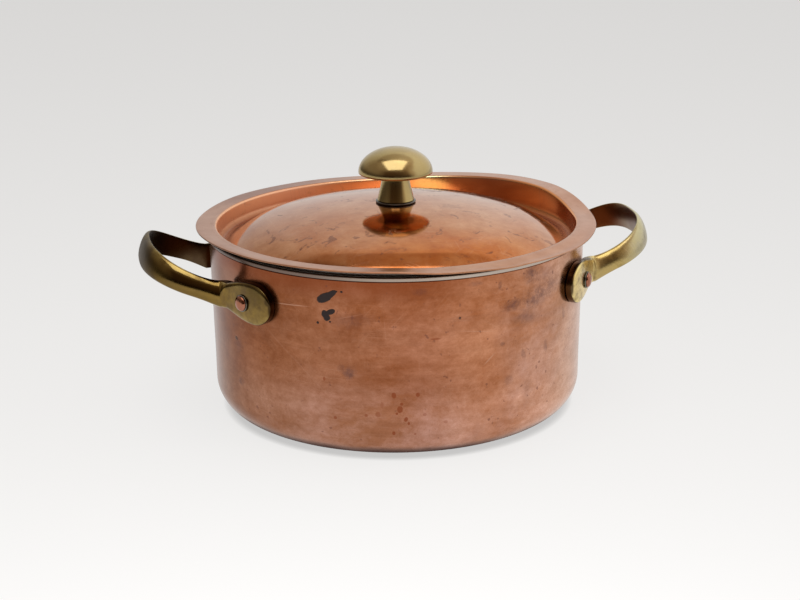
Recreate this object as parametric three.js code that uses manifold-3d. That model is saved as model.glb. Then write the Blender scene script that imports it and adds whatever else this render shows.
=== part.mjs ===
// Round copper pot with a silver-coloured lining, a domed lid with a sunk well,
// two cast brass loop handles on copper rivets and a turned brass knob.
// Millimetres, +Z up. The origin is the centre of the flat base, and the handles lie along X.

import * as THREE from 'three';
import { mergeVertices } from 'three/addons/utils/BufferGeometryUtils.js';
import Module from 'manifold-3d';

const wasm = await Module();
wasm.setup();

// Pot
const POT_RADIUS = 100;          // outside of the copper at the rim
const POT_HEIGHT = 96.3;         // base to the top of the lip
const WALL_DRAFT = 1.2;          // how much the wall draws in from the rim down to the base corner
const BASE_CORNER = 16.5;        // outside radius between wall and base
const COPPER_WALL = 1.6;
const LINING_WALL = 0.5;
const SKIN_GAP = 0.2;            // between a copper skin and its lining
const LIP_HEIGHT = 2.4;          // rolled lip of the lining that caps the copper wall
const LIP_PROUD = 0.3;           // how far the lip stands outside the copper
const LIP_ROUNDING = 0.7;

// Lid
const LID_SHEET = 1.2;
const LID_LINING = 0.4;
const LID_STAND = 2.2;           // flange held this far above the lip by the tapered well wall
const FLANGE_OVERHANG = 6.6;     // flange's edge beyond the copper's outside
const FLANGE_BEND = 1.4;         // outside radius of the bend from flange to well wall
const SEAT_GAP = 0.3;            // between the lid and the pot's mouth, all round
const WELL_DRAFT = 0.5;          // how much the well wall draws in towards its foot
const DOME_RISE = 13;            // top of the dome above the lip
const CROWN_RADIUS = 286;        // curvature of the top of the dome
const FLANK_WIDTH = 25.5;        // from the crown's edge over the shoulder and flank to the well wall
const SHOULDER_RADIUS = 10;
const FLANK_ANGLE = 30;          // degrees below level
const TROUGH_RADIUS = 3.5;       // round foot of the well

// Knob
const COLLAR_RADIUS = 10.7;
const COLLAR_THICKNESS = 0.5;
const POST_FOOT_RADIUS = 9.85;
const POST_NECK_RADIUS = 7.1;
const POST_FLARE = 1.3;          // exponent of the post's taper, above 1 it flares at the foot
const POST_HEIGHT = 13.6;
const CAP_RADIUS = 19.8;
const CAP_DOME_HEIGHT = 13.2;    // widest level to the top of the cap
const CAP_UNDERCUT = 1.6;        // widest level down to the flat underside
const CAP_CHEEK = 5.5;           // width of the rounded rim around the flat underside
const SCREW_RADIUS = 3;
const SCREW_DEPTH = 12;          // how far the screw reaches up into the knob
const SCREW_HEAD_RADIUS = 5.2;
const SCREW_HEAD_HEIGHT = 2.8;
const SCREW_HEAD_ROUNDING = 1.4;
const SCREW_WASHER_RADIUS = 7.5;
const SCREW_WASHER_THICKNESS = 1.2;
const BORE_CLEARANCE = 0.3;      // between a shank and its hole
const FACE_GAP = 0.3;            // between two faces that rest on each other

// Handles
const BOW_REACH = 34.4;          // pot's wall to the middle of the bow at its far end
const BOW_HALF_WIDTH = 37.6;     // middle of the handle to the middle of an arm
const BOW_SQUARENESS = 2.68;     // exponent of the bow's outline in plan, 2 would be an ellipse
const BOW_THICKNESS = 5.2;
const BOW_END_HEIGHT = 14;
const BOW_END_DROP = 5.5;        // lip down to the bow's middle line at its far end
const ARM_HEIGHT = 11.2;
const ARM_DROP = 19.3;           // lip down to an arm's middle line where it meets the bend
const ROOT_FLARE = 2.6;          // how much deeper an arm gets on its underside at the bend
const ROOT_FLARE_SHARE = 0.4;    // share of the bow's depth that the flare takes
const BOW_LEAN = 0.22;           // lean of the bow's face at its far end, top edge towards the pot
const BOW_RISE_POWER = 1.3;      // above 1, the arms climb a little later than a straight line
const BOW_CROWN = 2.1;           // exponent of the rounded outer face, 2 would be half an ellipse
const LUG_DROP = 20.8;           // lip down to the lug's middle line
const LUG_THICKNESS = 4.8;
const LUG_HEIGHT = 21.4;
const LUG_CROWN = 3.4;           // nearly flat face with rounded edges
const LUG_LENGTH = 32;           // along the wall, from the bend to the lug's tip
const LUG_ROUND_LENGTH = 12;     // from the widest part of the lug to its tip
const LUG_TIP_SWEEP = 84;        // degrees of the rounded end, short of 90 by the tip's small flat
const ROOT_BEND = 6;             // middle radius of the bend from arm to lug
const EDGE_THICKNESS = 1.2;      // square edge left between inner face and rounded outer face
const RIVET_SETBACK = 18.4;      // along the wall, from the lug's tip back to the rivet
const RIVET_LOW = 0.2;           // how far the rivet sits below the lug's middle line
const RIVET_SHANK_RADIUS = 2.3;
const RIVET_HEAD_RADIUS = 3.9;
const RIVET_HEAD_HEIGHT = 1.9;
const RIVET_INNER_HEAD_RADIUS = 4.6;
const RIVET_INNER_HEAD_HEIGHT = 1.8;
const WASHER_RADIUS = 4.4;
const WASHER_THICKNESS = 0.8;

// Fineness of the faceted surfaces
const BIG_SEGMENTS = 52;         // round the pot and the lid
const KNOB_SEGMENTS = 24;
const RIVET_SEGMENTS = 12;
const BEND_STEPS = 2;             // in the flange's bend

// Finishes
const finish = (color, roughness, metalness) =>
  new THREE.MeshStandardMaterial({ color, roughness, metalness });
const COPPER = finish(0xb8724f, 0.28, 1);
const LID_COPPER = finish(0xc48a68, 0.2, 1);
const STEEL = finish(0xb4b2ae, 0.35, 1);
const BRASS = finish(0x9a8248, 0.25, 1);
const RIVET_COPPER = finish(0xb87058, 0.3, 1);
const BURR_STEEL = finish(0x77756f, 0.45, 1);
const COLLAR_DARK = finish(0x3c3b36, 0.6, 0.6);

const radians = THREE.MathUtils.degToRad;
const degrees = THREE.MathUtils.radToDeg;
const mix = THREE.MathUtils.lerp;
const point = (r, z) => new THREE.Vector2(r, z);

// Points on a circle in the profile plane, angles in degrees from the +r direction.
// With a rise it is an ellipse of that half height.
function arc(centre, radius, from, to, steps, rise = radius) {
  const points = [];
  for (let i = 0; i <= steps; i++) {
    const angle = radians(mix(from, to, i / steps));
    points.push(point(centre.x + radius * Math.cos(angle), centre.y + rise * Math.sin(angle)));
  }
  return points;
}

// Closed solid of revolution. A profile that starts and ends on the axis closes there,
// any other profile closes on itself. Counter-clockwise profiles, seen with r to the right.
function revolve(profile, segments) {
  const onAxis = Math.abs(profile[0].x) < 1e-6;
  const points = onAxis ? profile : [...profile, profile[0]];
  const geometry = new THREE.LatheGeometry(points, segments);
  geometry.rotateX(Math.PI / 2);
  return closed(geometry);
}

function closed(geometry) {
  geometry.deleteAttribute('normal');
  geometry.deleteAttribute('uv');
  return mergeVertices(geometry, 1e-4);
}

// The curve moved sideways by a distance, to the right of its direction of travel
function offset(curve, distance) {
  return curve.map((p, i) => {
    const before = curve[Math.max(i - 1, 0)];
    const after = curve[Math.min(i + 1, curve.length - 1)];
    const along = after.clone().sub(before).normalize();
    return point(p.x + along.y * distance, p.y - along.x * distance);
  });
}

function toManifold(geometry) {
  return new wasm.Manifold(new wasm.Mesh({
    numProp: 3,
    vertProperties: new Float32Array(geometry.attributes.position.array),
    triVerts: new Uint32Array(geometry.index.array),
  }));
}

function fromManifold(solid) {
  const mesh = solid.getMesh();
  const geometry = new THREE.BufferGeometry();
  geometry.setAttribute('position', new THREE.BufferAttribute(mesh.vertProperties, 3));
  geometry.setIndex(new THREE.BufferAttribute(mesh.triVerts, 1));
  return geometry;
}

function cut(geometry, tools) {
  let solid = toManifold(geometry);
  for (const tool of tools) solid = solid.subtract(toManifold(tool));
  return fromManifold(solid);
}

const group = new THREE.Group();

function add(name, geometry, material) {
  const mesh = new THREE.Mesh(geometry, material);
  mesh.name = name;
  group.add(mesh);
  return mesh;
}

// Radius of the copper's outside at a height above the base corner
function wallRadius(z) {
  const share = (z - BASE_CORNER) / (POT_HEIGHT - BASE_CORNER);
  return POT_RADIUS - WALL_DRAFT * (1 - share);
}

// Pot

// Inside or outside of a drawn skin, from the axis over the base corner up to a height.
// The inset is measured square to the outside of the copper.
function potCurve(inset, top) {
  const corner = point(wallRadius(BASE_CORNER) - BASE_CORNER, BASE_CORNER);
  return [
    point(0, inset),
    ...arc(corner, BASE_CORNER - inset, -90, 0, 5),
    point(wallRadius(top) - inset, top),
  ];
}

const copperTop = POT_HEIGHT - LIP_HEIGHT;
const liningInset = COPPER_WALL + SKIN_GAP;
const mouthInset = liningInset + LINING_WALL;
const mouthRadius = POT_RADIUS - mouthInset;

function potBody() {
  const outside = potCurve(0, copperTop);
  const inside = potCurve(COPPER_WALL, copperTop);
  return revolve([...outside, ...inside.reverse()], BIG_SEGMENTS);
}

function potLining() {
  const outside = potCurve(liningInset, copperTop + SKIN_GAP);
  const inside = potCurve(mouthInset, POT_HEIGHT - LIP_ROUNDING);
  const lipOuter = wallRadius(copperTop) + LIP_PROUD;
  const lip = [
    point(lipOuter, copperTop + SKIN_GAP),
    ...arc(point(lipOuter - LIP_ROUNDING, POT_HEIGHT - LIP_ROUNDING), LIP_ROUNDING, 0, 90, 2),
    ...arc(point(mouthRadius + LIP_ROUNDING, POT_HEIGHT - LIP_ROUNDING), LIP_ROUNDING, 90, 135, 1),
  ];
  return revolve([...outside, ...lip, ...inside.reverse()], BIG_SEGMENTS);
}

// Lid

const flangeUnder = POT_HEIGHT + LID_STAND;
const flangeTop = flangeUnder + LID_SHEET;
const domeTop = POT_HEIGHT + DOME_RISE;

// Upper face of the lid from the centre hole out to the flange's edge
function lidCurve(holeRadius) {
  const wallAtLip = mouthRadius - SEAT_GAP - LID_LINING - SKIN_GAP - LID_SHEET;
  const wallFoot = wallAtLip - WELL_DRAFT;
  const crown = point(0, domeTop - CROWN_RADIUS);
  const crownEdge = wallFoot - FLANK_WIDTH;
  const crownAngle = degrees(Math.asin(crownEdge / CROWN_RADIUS));
  const holeAngle = degrees(Math.asin(holeRadius / CROWN_RADIUS));
  const crownArc = arc(crown, CROWN_RADIUS, 90 - holeAngle, 90 - crownAngle, 4);
  const turn = radians(crownAngle);
  const shoulder = point(
    crownEdge - SHOULDER_RADIUS * Math.sin(turn),
    crownArc.at(-1).y - SHOULDER_RADIUS * Math.cos(turn),
  );
  const shoulderArc = arc(shoulder, SHOULDER_RADIUS, 90 - crownAngle, 90 - FLANK_ANGLE, 3);
  const flankStart = shoulderArc.at(-1);
  const flank = radians(FLANK_ANGLE);
  const troughRadius = wallFoot - TROUGH_RADIUS;
  const flankEndRadius = troughRadius - TROUGH_RADIUS * Math.sin(flank);
  const flankEndLevel = flankStart.y - (flankEndRadius - flankStart.x) * Math.tan(flank);
  const trough = point(troughRadius, flankEndLevel + TROUGH_RADIUS * Math.cos(flank));
  const bend = point(wallAtLip + FLANGE_BEND, flangeTop - FLANGE_BEND);
  return [
    ...crownArc,
    ...shoulderArc.slice(1),
    ...arc(trough, TROUGH_RADIUS, -90 - FLANK_ANGLE, 0, 3),
    ...arc(bend, FLANGE_BEND, 180, 90, BEND_STEPS),
    point(POT_RADIUS + FLANGE_OVERHANG, flangeTop),
  ];
}

const screwHole = SCREW_RADIUS + BORE_CLEARANCE;

function lidShell() {
  const top = lidCurve(screwHole);
  return revolve([...offset(top, LID_SHEET), ...top.reverse()], BIG_SEGMENTS);
}

function lidLining() {
  const top = lidCurve(screwHole);
  const wallTop = top.length - BEND_STEPS - 1;
  const upper = offset(top, LID_SHEET + SKIN_GAP).slice(0, wallTop);
  const lower = offset(top, LID_SHEET + SKIN_GAP + LID_LINING).slice(0, wallTop);
  return revolve([...lower, ...upper.reverse()], BIG_SEGMENTS);
}

// Knob, with the screw that holds it from below

const collarUnder = domeTop + FACE_GAP;
const postFoot = collarUnder + COLLAR_THICKNESS + FACE_GAP;
const capUnder = postFoot + POST_HEIGHT;
const capWidest = capUnder + CAP_UNDERCUT;

// Turned shape with a hole up the middle that ends blind
function lidKnob() {
  const post = [];
  for (let share = 0; share < 1; share += 0.25) {
    const radius = mix(POST_NECK_RADIUS, POST_FOOT_RADIUS, (1 - share) ** POST_FLARE);
    post.push(point(radius, postFoot + POST_HEIGHT * share));
  }
  const profile = [
    point(0, postFoot + SCREW_DEPTH),
    point(screwHole, postFoot + SCREW_DEPTH),
    point(screwHole, postFoot),
    ...post,
    point(POST_NECK_RADIUS, capUnder),
    ...arc(point(CAP_RADIUS - CAP_CHEEK, capWidest), CAP_CHEEK, -90, 0, 4, CAP_UNDERCUT),
    ...arc(point(0, capWidest), CAP_RADIUS, 0, 90, 6, CAP_DOME_HEIGHT).slice(1),
  ];
  return revolve(profile, KNOB_SEGMENTS);
}

function ring(outer, inner, low, thickness, segments) {
  const high = low + thickness;
  return revolve([point(inner, low), point(outer, low), point(outer, high), point(inner, high)], segments);
}

const lidUnder = domeTop - LID_SHEET - SKIN_GAP - LID_LINING;
const screwWasherLow = lidUnder - FACE_GAP - SCREW_WASHER_THICKNESS;
const screwHeadTop = screwWasherLow - FACE_GAP;

function knobScrew() {
  const top = postFoot + SCREW_DEPTH - FACE_GAP;
  const headRim = screwHeadTop - SCREW_HEAD_HEIGHT + SCREW_HEAD_ROUNDING;
  const profile = [
    point(0, headRim - SCREW_HEAD_ROUNDING),
    ...arc(point(SCREW_HEAD_RADIUS - SCREW_HEAD_ROUNDING, headRim), SCREW_HEAD_ROUNDING, -90, 0, 2),
    point(SCREW_HEAD_RADIUS, screwHeadTop),
    point(SCREW_RADIUS, screwHeadTop),
    point(SCREW_RADIUS, top),
    point(0, top),
  ];
  return revolve(profile, RIVET_SEGMENTS);
}

// Handles

const lugInner = POT_RADIUS + FACE_GAP;
const lugOuter = lugInner + LUG_THICKNESS;
const lugRadius = lugInner + LUG_THICKNESS / 2;
const lugLevel = POT_HEIGHT - LUG_DROP;
const armLevel = POT_HEIGHT - ARM_DROP;
const bowEndLevel = POT_HEIGHT - BOW_END_DROP;

// Centre of the bend from arm to lug, on the +Y side of the handle on +X
const bendY = BOW_HALF_WIDTH + ROOT_BEND;
const bendX = Math.sqrt((lugRadius + ROOT_BEND) ** 2 - bendY ** 2);
const bendAngle = Math.atan2(bendY, bendX);
const tipAngle = bendAngle + LUG_LENGTH / lugRadius;
const rivetAngle = tipAngle - RIVET_SETBACK / lugRadius;
const rivetLevel = lugLevel - RIVET_LOW;

// One half of the handle as stations from the middle of the bow to the lug's tip. Each has its
// place in plan, the outward direction, the height and level of the section there, how far its
// inner face lies inside that place, its thickness, the roundness of its outer face and the
// lean of that face.
function handleStations() {
  const stations = [];
  const bowDepth = POT_RADIUS + BOW_REACH - bendX;
  const bowSteps = 11;
  for (let i = 0; i < bowSteps; i++) {
    const a = (Math.PI / 2) * i / bowSteps;
    const power = 2 / BOW_SQUARENESS;
    const depth = Math.cos(a) ** power;
    const width = Math.sin(a) ** power;
    const rise = depth ** BOW_RISE_POWER;
    const flare = ROOT_FLARE * Math.max(0, 1 - depth / ROOT_FLARE_SHARE) ** 2;
    const normal = new THREE.Vector2(
      depth ** (BOW_SQUARENESS - 1) / bowDepth,
      width ** (BOW_SQUARENESS - 1) / BOW_HALF_WIDTH,
    ).normalize();
    stations.push({
      x: bendX + bowDepth * depth,
      y: BOW_HALF_WIDTH * width,
      normal,
      height: mix(ARM_HEIGHT, BOW_END_HEIGHT, rise) + flare,
      level: mix(armLevel, bowEndLevel, rise) - flare / 2,
      inside: BOW_THICKNESS / 2,
      thickness: BOW_THICKNESS,
      crown: BOW_CROWN,
      lean: BOW_LEAN * rise,
    });
  }

  const rootHeight = ARM_HEIGHT + ROOT_FLARE;
  const rootLevel = armLevel - ROOT_FLARE / 2;
  const bendSteps = 3;
  for (let i = 0; i <= bendSteps; i++) {
    const share = i / bendSteps;
    const a = mix(-Math.PI / 2, bendAngle - Math.PI, share);
    const thickness = mix(BOW_THICKNESS, LUG_THICKNESS, share);
    stations.push({
      x: bendX + ROOT_BEND * Math.cos(a),
      y: bendY + ROOT_BEND * Math.sin(a),
      normal: new THREE.Vector2(-Math.cos(a), -Math.sin(a)),
      height: rootHeight,
      level: rootLevel,
      inside: thickness / 2,
      thickness,
      crown: mix(BOW_CROWN, LUG_CROWN, share),
      lean: 0,
    });
  }

  const onLug = (angle, height, level, thickness) => stations.push({
    x: lugRadius * Math.cos(angle),
    y: lugRadius * Math.sin(angle),
    normal: new THREE.Vector2(Math.cos(angle), Math.sin(angle)),
    height,
    level,
    inside: LUG_THICKNESS / 2,
    thickness,
    crown: LUG_CROWN,
    lean: 0,
  });
  const roundAngle = LUG_ROUND_LENGTH / lugRadius;
  const widening = 4;
  for (let i = 1; i <= widening; i++) {
    const angle = mix(bendAngle, tipAngle - roundAngle, i / widening);
    const share = Math.sin((Math.PI / 2) * i / widening);
    onLug(angle, mix(rootHeight, LUG_HEIGHT, share), mix(rootLevel, lugLevel, share), LUG_THICKNESS);
  }
  const rounding = 6;
  for (let i = 1; i <= rounding; i++) {
    const a = radians(LUG_TIP_SWEEP) * i / rounding;
    const thickness = mix(EDGE_THICKNESS, LUG_THICKNESS, Math.cos(a) ** (2 / LUG_CROWN));
    onLug(tipAngle - roundAngle * (1 - Math.sin(a)), LUG_HEIGHT * Math.cos(a), lugLevel, thickness);
  }
  return stations;
}

// Section with a flat inner face and a rounded outer face, as points (outward, up)
function handleSection({ height, inside, thickness, crown, lean }) {
  const points = [];
  const steps = 6;
  for (let i = 0; i <= steps; i++) {
    const a = Math.PI * (i / steps - 0.5);
    const up = Math.sign(a) * Math.abs(Math.sin(a)) ** (2 / crown) * height / 2;
    const out = mix(EDGE_THICKNESS, thickness, Math.cos(a) ** (2 / crown)) - inside;
    points.push(point(out, up));
  }
  points.push(point(-inside, height / 2), point(-inside, -height / 2));
  return points.map((p) => point(p.x - lean * p.y, p.y));
}

// Skin through a row of sections with equal point counts, closed by a fan at either end
function loft(sections) {
  const count = sections[0].length;
  const positions = sections.flat().flatMap((p) => [p.x, p.y, p.z]);
  const index = [];
  for (let i = 0; i + 1 < sections.length; i++) {
    for (let j = 0; j < count; j++) {
      const a = i * count + j;
      const b = i * count + (j + 1) % count;
      index.push(a, a + count, b, b, a + count, b + count);
    }
  }
  const last = (sections.length - 1) * count;
  for (let j = 1; j + 1 < count; j++) {
    index.push(0, j, j + 1);
    index.push(last, last + j + 1, last + j);
  }
  const geometry = new THREE.BufferGeometry();
  geometry.setAttribute('position', new THREE.Float32BufferAttribute(positions, 3));
  geometry.setIndex(index);
  return geometry;
}

// A rod along the pot's radius that cuts the hole for a rivet of the handle on +X
function rivetBore(side) {
  const radius = RIVET_SHANK_RADIUS + BORE_CLEARANCE;
  const rod = closed(new THREE.CylinderGeometry(radius, radius, POT_RADIUS, RIVET_SEGMENTS));
  rod.rotateZ(-Math.PI / 2);
  rod.translate(POT_RADIUS, 0, rivetLevel);
  rod.rotateZ(side * rivetAngle);
  return rod;
}

// The pot's outside with the gap that a lug keeps to it
function wallEnvelope() {
  const profile = [point(0, 0), point(wallRadius(BASE_CORNER) + FACE_GAP, BASE_CORNER)];
  profile.push(point(POT_RADIUS + FACE_GAP, POT_HEIGHT), point(0, POT_HEIGHT));
  return revolve(profile, BIG_SEGMENTS);
}

function handle() {
  const half = handleStations();
  const place = (station, mirror) => handleSection(station).map((p) => new THREE.Vector3(
    station.x + station.normal.x * p.x,
    mirror * (station.y + station.normal.y * p.x),
    station.level + p.y,
  ));
  const near = half.map((station) => place(station, -1)).reverse();
  const far = half.slice(1).map((station) => place(station, 1));
  return cut(loft([...near, ...far]), [wallEnvelope(), rivetBore(-1), rivetBore(1)]);
}

// Rivet along +X: inner head, shank and domed outer head, as distances from the pot's axis
const innerHeadSeat = wallRadius(rivetLevel) - mouthInset - FACE_GAP;
const washerLow = lugOuter + FACE_GAP;
const headLow = washerLow + WASHER_THICKNESS + FACE_GAP;

function rivet() {
  const profile = [
    ...arc(point(0, innerHeadSeat), RIVET_INNER_HEAD_RADIUS, -90, 0, 2, RIVET_INNER_HEAD_HEIGHT),
    point(RIVET_SHANK_RADIUS, innerHeadSeat),
    point(RIVET_SHANK_RADIUS, headLow),
    ...arc(point(0, headLow), RIVET_HEAD_RADIUS, 0, 90, 4, RIVET_HEAD_HEIGHT),
  ];
  return revolve(profile, RIVET_SEGMENTS).rotateY(Math.PI / 2);
}

function rivetWasher() {
  const inner = RIVET_SHANK_RADIUS + BORE_CLEARANCE;
  return ring(WASHER_RADIUS, inner, washerLow, WASHER_THICKNESS, RIVET_SEGMENTS).rotateY(Math.PI / 2);
}

// The four rivet holes through a skin of the pot
function drilled(geometry) {
  const bores = [];
  for (const turn of [0, Math.PI]) {
    for (const side of [-1, 1]) bores.push(rivetBore(side).rotateZ(turn));
  }
  return cut(geometry, bores);
}

add('pot_body', drilled(potBody()), COPPER);
add('pot_lining', drilled(potLining()), STEEL);
add('lid_shell', lidShell(), LID_COPPER);
add('lid_lining', lidLining(), STEEL);
add('lid_knob', lidKnob(), BRASS);
add('knob_collar', ring(COLLAR_RADIUS, screwHole, collarUnder, COLLAR_THICKNESS, KNOB_SEGMENTS), COLLAR_DARK);
add('knob_screw', knobScrew(), STEEL);
add('knob_screw_washer',
  ring(SCREW_WASHER_RADIUS, screwHole, screwWasherLow, SCREW_WASHER_THICKNESS, RIVET_SEGMENTS), STEEL);

// The two handles are alike, half a turn apart. The front is the -Y side.
for (const [name, turn, frontSide] of [['handle_right', 0, -1], ['handle_left', Math.PI, 1]]) {
  add(name, handle(), BRASS).rotation.z = turn;
  for (const [end, side] of [['front', frontSide], ['back', -frontSide]]) {
    const pieces = [
      add(`${name}_rivet_${end}`, rivet(), RIVET_COPPER),
      add(`${name}_washer_${end}`, rivetWasher(), BURR_STEEL),
    ];
    for (const piece of pieces) {
      piece.position.z = rivetLevel;
      piece.rotation.z = turn + side * rivetAngle;
    }
  }
}

export default group;
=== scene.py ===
"""Looks of the lidded copper pot. Metres, the pot's axis along Z, the front towards -Y.

Sizes below are in millimetres, as a maker gives them, and become metres in the meshes.
"""

import math

import bpy
import numpy as np
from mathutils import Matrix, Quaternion, Vector


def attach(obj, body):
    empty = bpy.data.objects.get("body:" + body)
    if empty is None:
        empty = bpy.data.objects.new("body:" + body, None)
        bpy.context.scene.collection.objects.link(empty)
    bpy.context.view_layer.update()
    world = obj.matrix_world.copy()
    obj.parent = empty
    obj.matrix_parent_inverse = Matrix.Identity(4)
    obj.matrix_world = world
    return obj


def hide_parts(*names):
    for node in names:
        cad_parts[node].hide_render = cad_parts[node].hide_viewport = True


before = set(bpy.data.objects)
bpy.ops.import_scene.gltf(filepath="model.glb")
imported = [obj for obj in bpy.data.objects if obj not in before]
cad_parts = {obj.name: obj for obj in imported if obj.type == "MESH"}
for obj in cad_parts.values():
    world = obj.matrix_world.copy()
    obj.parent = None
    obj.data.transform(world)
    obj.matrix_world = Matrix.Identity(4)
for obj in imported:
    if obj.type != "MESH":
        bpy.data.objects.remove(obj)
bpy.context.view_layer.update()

MM = 0.001
ON_AXIS = 1e-6                   # a radius below this counts as the axis

# The values are the CAD model's own, save for those that say otherwise.

# Pot
POT_RADIUS = 100
POT_HEIGHT = 96.3
WALL_DRAFT = 1.2
BASE_CORNER = 16.5
COPPER_WALL = 1.6
LINING_WALL = 0.5
SKIN_GAP = 0.2
LIP_HEIGHT = 2.4
LIP_PROUD = 0.3
LIP_ROUNDING = 0.7

# Lid
LID_SHEET = 1.2
LID_LINING = 0.4
LID_STAND = 2.2
FLANGE_OVERHANG = 6.6
FLANGE_BEND = 1.4
SEAT_GAP = 0.3
WELL_DRAFT = 0.5
DOME_RISE = 13
CROWN_RADIUS = 286
FLANK_WIDTH = 28                 # this and the next two: a shoulder about 1 mm fuller than the CAD's
SHOULDER_RADIUS = 45
FLANK_ANGLE = 33
TROUGH_RADIUS = 3.5
RIM_THINNING = 0.45              # here only: the flange is thinner at its rim
RIM_ROUNDING = 0.32
LID_LIFT = 5.0                   # here only: how far the flange is bent up at the back right

# Knob and its screw
COLLAR_RADIUS = 10.7
COLLAR_THICKNESS = 0.5
COLLAR_SETTLE = 0.2              # here only: how far the collar reaches into the gaps above and below it
POST_FOOT_RADIUS = 9.85
POST_NECK_RADIUS = 7.1
POST_FLARE = 1.3
POST_HEIGHT = 13.6
CAP_RADIUS = 19.8
CAP_DOME_HEIGHT = 13.2
CAP_UNDERCUT = 1.6
CAP_CHEEK = 5.5
SCREW_RADIUS = 3
SCREW_DEPTH = 12
SCREW_HEAD_RADIUS = 5.2
SCREW_HEAD_HEIGHT = 2.8
SCREW_HEAD_ROUNDING = 1.4
SCREW_WASHER_RADIUS = 7.5
SCREW_WASHER_THICKNESS = 1.2
BORE_CLEARANCE = 0.3
FACE_GAP = 0.3

# Handles
BOW_REACH = 34.4
BOW_HALF_WIDTH = 37.6
BOW_SQUARENESS = 2.68
BOW_THICKNESS = 5.2
BOW_END_HEIGHT = 14
BOW_END_DROP = 5.5
ARM_HEIGHT = 11.2
ARM_DROP = 19.3
ROOT_FLARE = 2.6
ROOT_FLARE_SHARE = 0.4
BOW_LEAN = 0.22
BOW_RISE_POWER = 1.3
BOW_CROWN = 2.1
LUG_DROP = 20.8
LUG_THICKNESS = 4.8
LUG_HEIGHT = 21.4
LUG_CROWN = 3.4
LUG_LENGTH = 32
LUG_ROUND_LENGTH = 12
ROOT_BEND = 6
EDGE_THICKNESS = 1.2
LUG_EDGE = 2.6
LUG_SETTLE = 0.35                # here only: how much nearer the lug lies to the wall, which it follows
ROOT_FILLET = 1.9                # here only: extra thickness that softens the bend from arm to lug
ROOT_FILLET_REACH = 6.5
INNER_BELLY = 0.7                # here only: rounding of the bow's inner face
FACE_SAG = 0.14                  # here only: how far the outer face's crest lies below its middle
BOW_PULL = 0.08                  # here only: keeps the sagging bow within the CAD's reach
RIVET_SETBACK = 18.4
RIVET_LOW = 0.2
RIVET_SHANK_RADIUS = 2.3
RIVET_HEAD_RADIUS = 3.9
RIVET_HEAD_HEIGHT = 1.9
RIVET_INNER_HEAD_RADIUS = 4.6
RIVET_INNER_HEAD_HEIGHT = 1.8
WASHER_RADIUS = 4.4
WASHER_THICKNESS = 0.8
WASHER_GAP = 0.08                # here only: washers and heads sit closer than the CAD's clearance
HEAD_GAP = 0.06

# Steps of the meshes
AROUND = 224                     # round the pot and the lid
CORNER_STEPS = 18
BOW_STEPS = 60                   # along half a bow
BEND_STEPS = 12                  # from the bow into the lug

# Camera, as the photograph was taken
VIEW_AZIMUTH = -11.3
VIEW_ELEVATION = 17.6
VIEW_DISTANCE = 0.9
VIEW_ROLL = -0.57


def placed(name, data):
    """A new object in the scene."""
    made = bpy.data.objects.new(name, data)
    bpy.context.scene.collection.objects.link(made)
    return made


def make_camera():
    camera = placed("camera", bpy.data.cameras.new("camera"))
    bpy.context.scene.camera = camera
    camera.data.sensor_width = 36
    camera.data.lens = 74.3
    camera.data.shift_x = 0.0039
    camera.data.shift_y = 0.0131
    camera.data.clip_start, camera.data.clip_end = 0.05, 50
    a, e = math.radians(VIEW_AZIMUTH), math.radians(VIEW_ELEVATION)
    back = Vector((math.sin(a) * math.cos(e), -math.cos(a) * math.cos(e), math.sin(e)))
    camera.location = Vector((0, 0, POT_HEIGHT * MM / 2)) + back * VIEW_DISTANCE
    roll = Quaternion((0, 0, 1), math.radians(VIEW_ROLL))
    camera.rotation_mode = "QUATERNION"
    camera.rotation_quaternion = (-back).to_track_quat("-Z", "Y") @ roll


make_camera()


# Shapes

def mix(a, b, share):
    return a + (b - a) * share


def smooth(share):
    share = np.clip(share, 0, 1)
    return share * share * (3 - 2 * share)


def arc(centre, radius, start, end, steps, rise=None):
    """Points (r, z) on a circle, angles in degrees from the outward direction."""
    r, z = centre
    angles = np.radians(np.linspace(start, end, steps + 1))
    return [(r + radius * math.cos(t), z + (rise or radius) * math.sin(t)) for t in angles]


def straight(start, end, steps):
    """Points after the start, up to and with the end."""
    return [(mix(start[0], end[0], i / steps), mix(start[1], end[1], i / steps)) for i in range(1, steps + 1)]


def shifted(curve, distance):
    """The curve moved to the right of its direction of travel."""
    points = np.array(curve, float)
    along = np.gradient(points, axis=0)
    along /= np.linalg.norm(along, axis=1)[:, None]
    return [tuple(p) for p in points + distance * np.stack([along[:, 1], -along[:, 0]], 1)]


def solid(name, points, faces, sharp=32):
    """A smooth-shaded object from points in millimetres."""
    mesh = bpy.data.meshes.new(name)
    mesh.from_pydata((np.asarray(points, float) * MM).tolist(), [], faces)
    mesh.validate()
    mesh.shade_smooth()
    mesh.set_sharp_from_angle(angle=math.radians(sharp))
    return placed(name, mesh)


def spun(name, profile, around=AROUND, bend=None):
    """Turned shape. A profile that starts and ends on the axis closes there, any other on itself.
    bend(bearing, r, z) moves each point a little and returns the new r and z."""
    points, faces, rows = [], [], []
    bearings = np.arange(around) * 2 * math.pi / around
    for r, z in profile:
        if abs(r) < ON_AXIS:
            rows.append([len(points)] * around)
            points.append((0, 0, z))
            continue
        rr, zz = bend(bearings, r, z) if bend else (r + 0 * bearings, z + 0 * bearings)
        rows.append(list(range(len(points), len(points) + around)))
        points.extend(zip(rr * np.sin(bearings), -rr * np.cos(bearings), zz))
    on_axis = abs(profile[0][0]) < ON_AXIS
    for i in range(len(rows) - 1 if on_axis else len(rows)):
        low, high = rows[i], rows[(i + 1) % len(rows)]
        for j in range(around):
            k = (j + 1) % around
            corners = dict.fromkeys((low[j], low[k], high[k], high[j]))
            faces.append(tuple(corners))
    return solid(name, points, faces)


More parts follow.
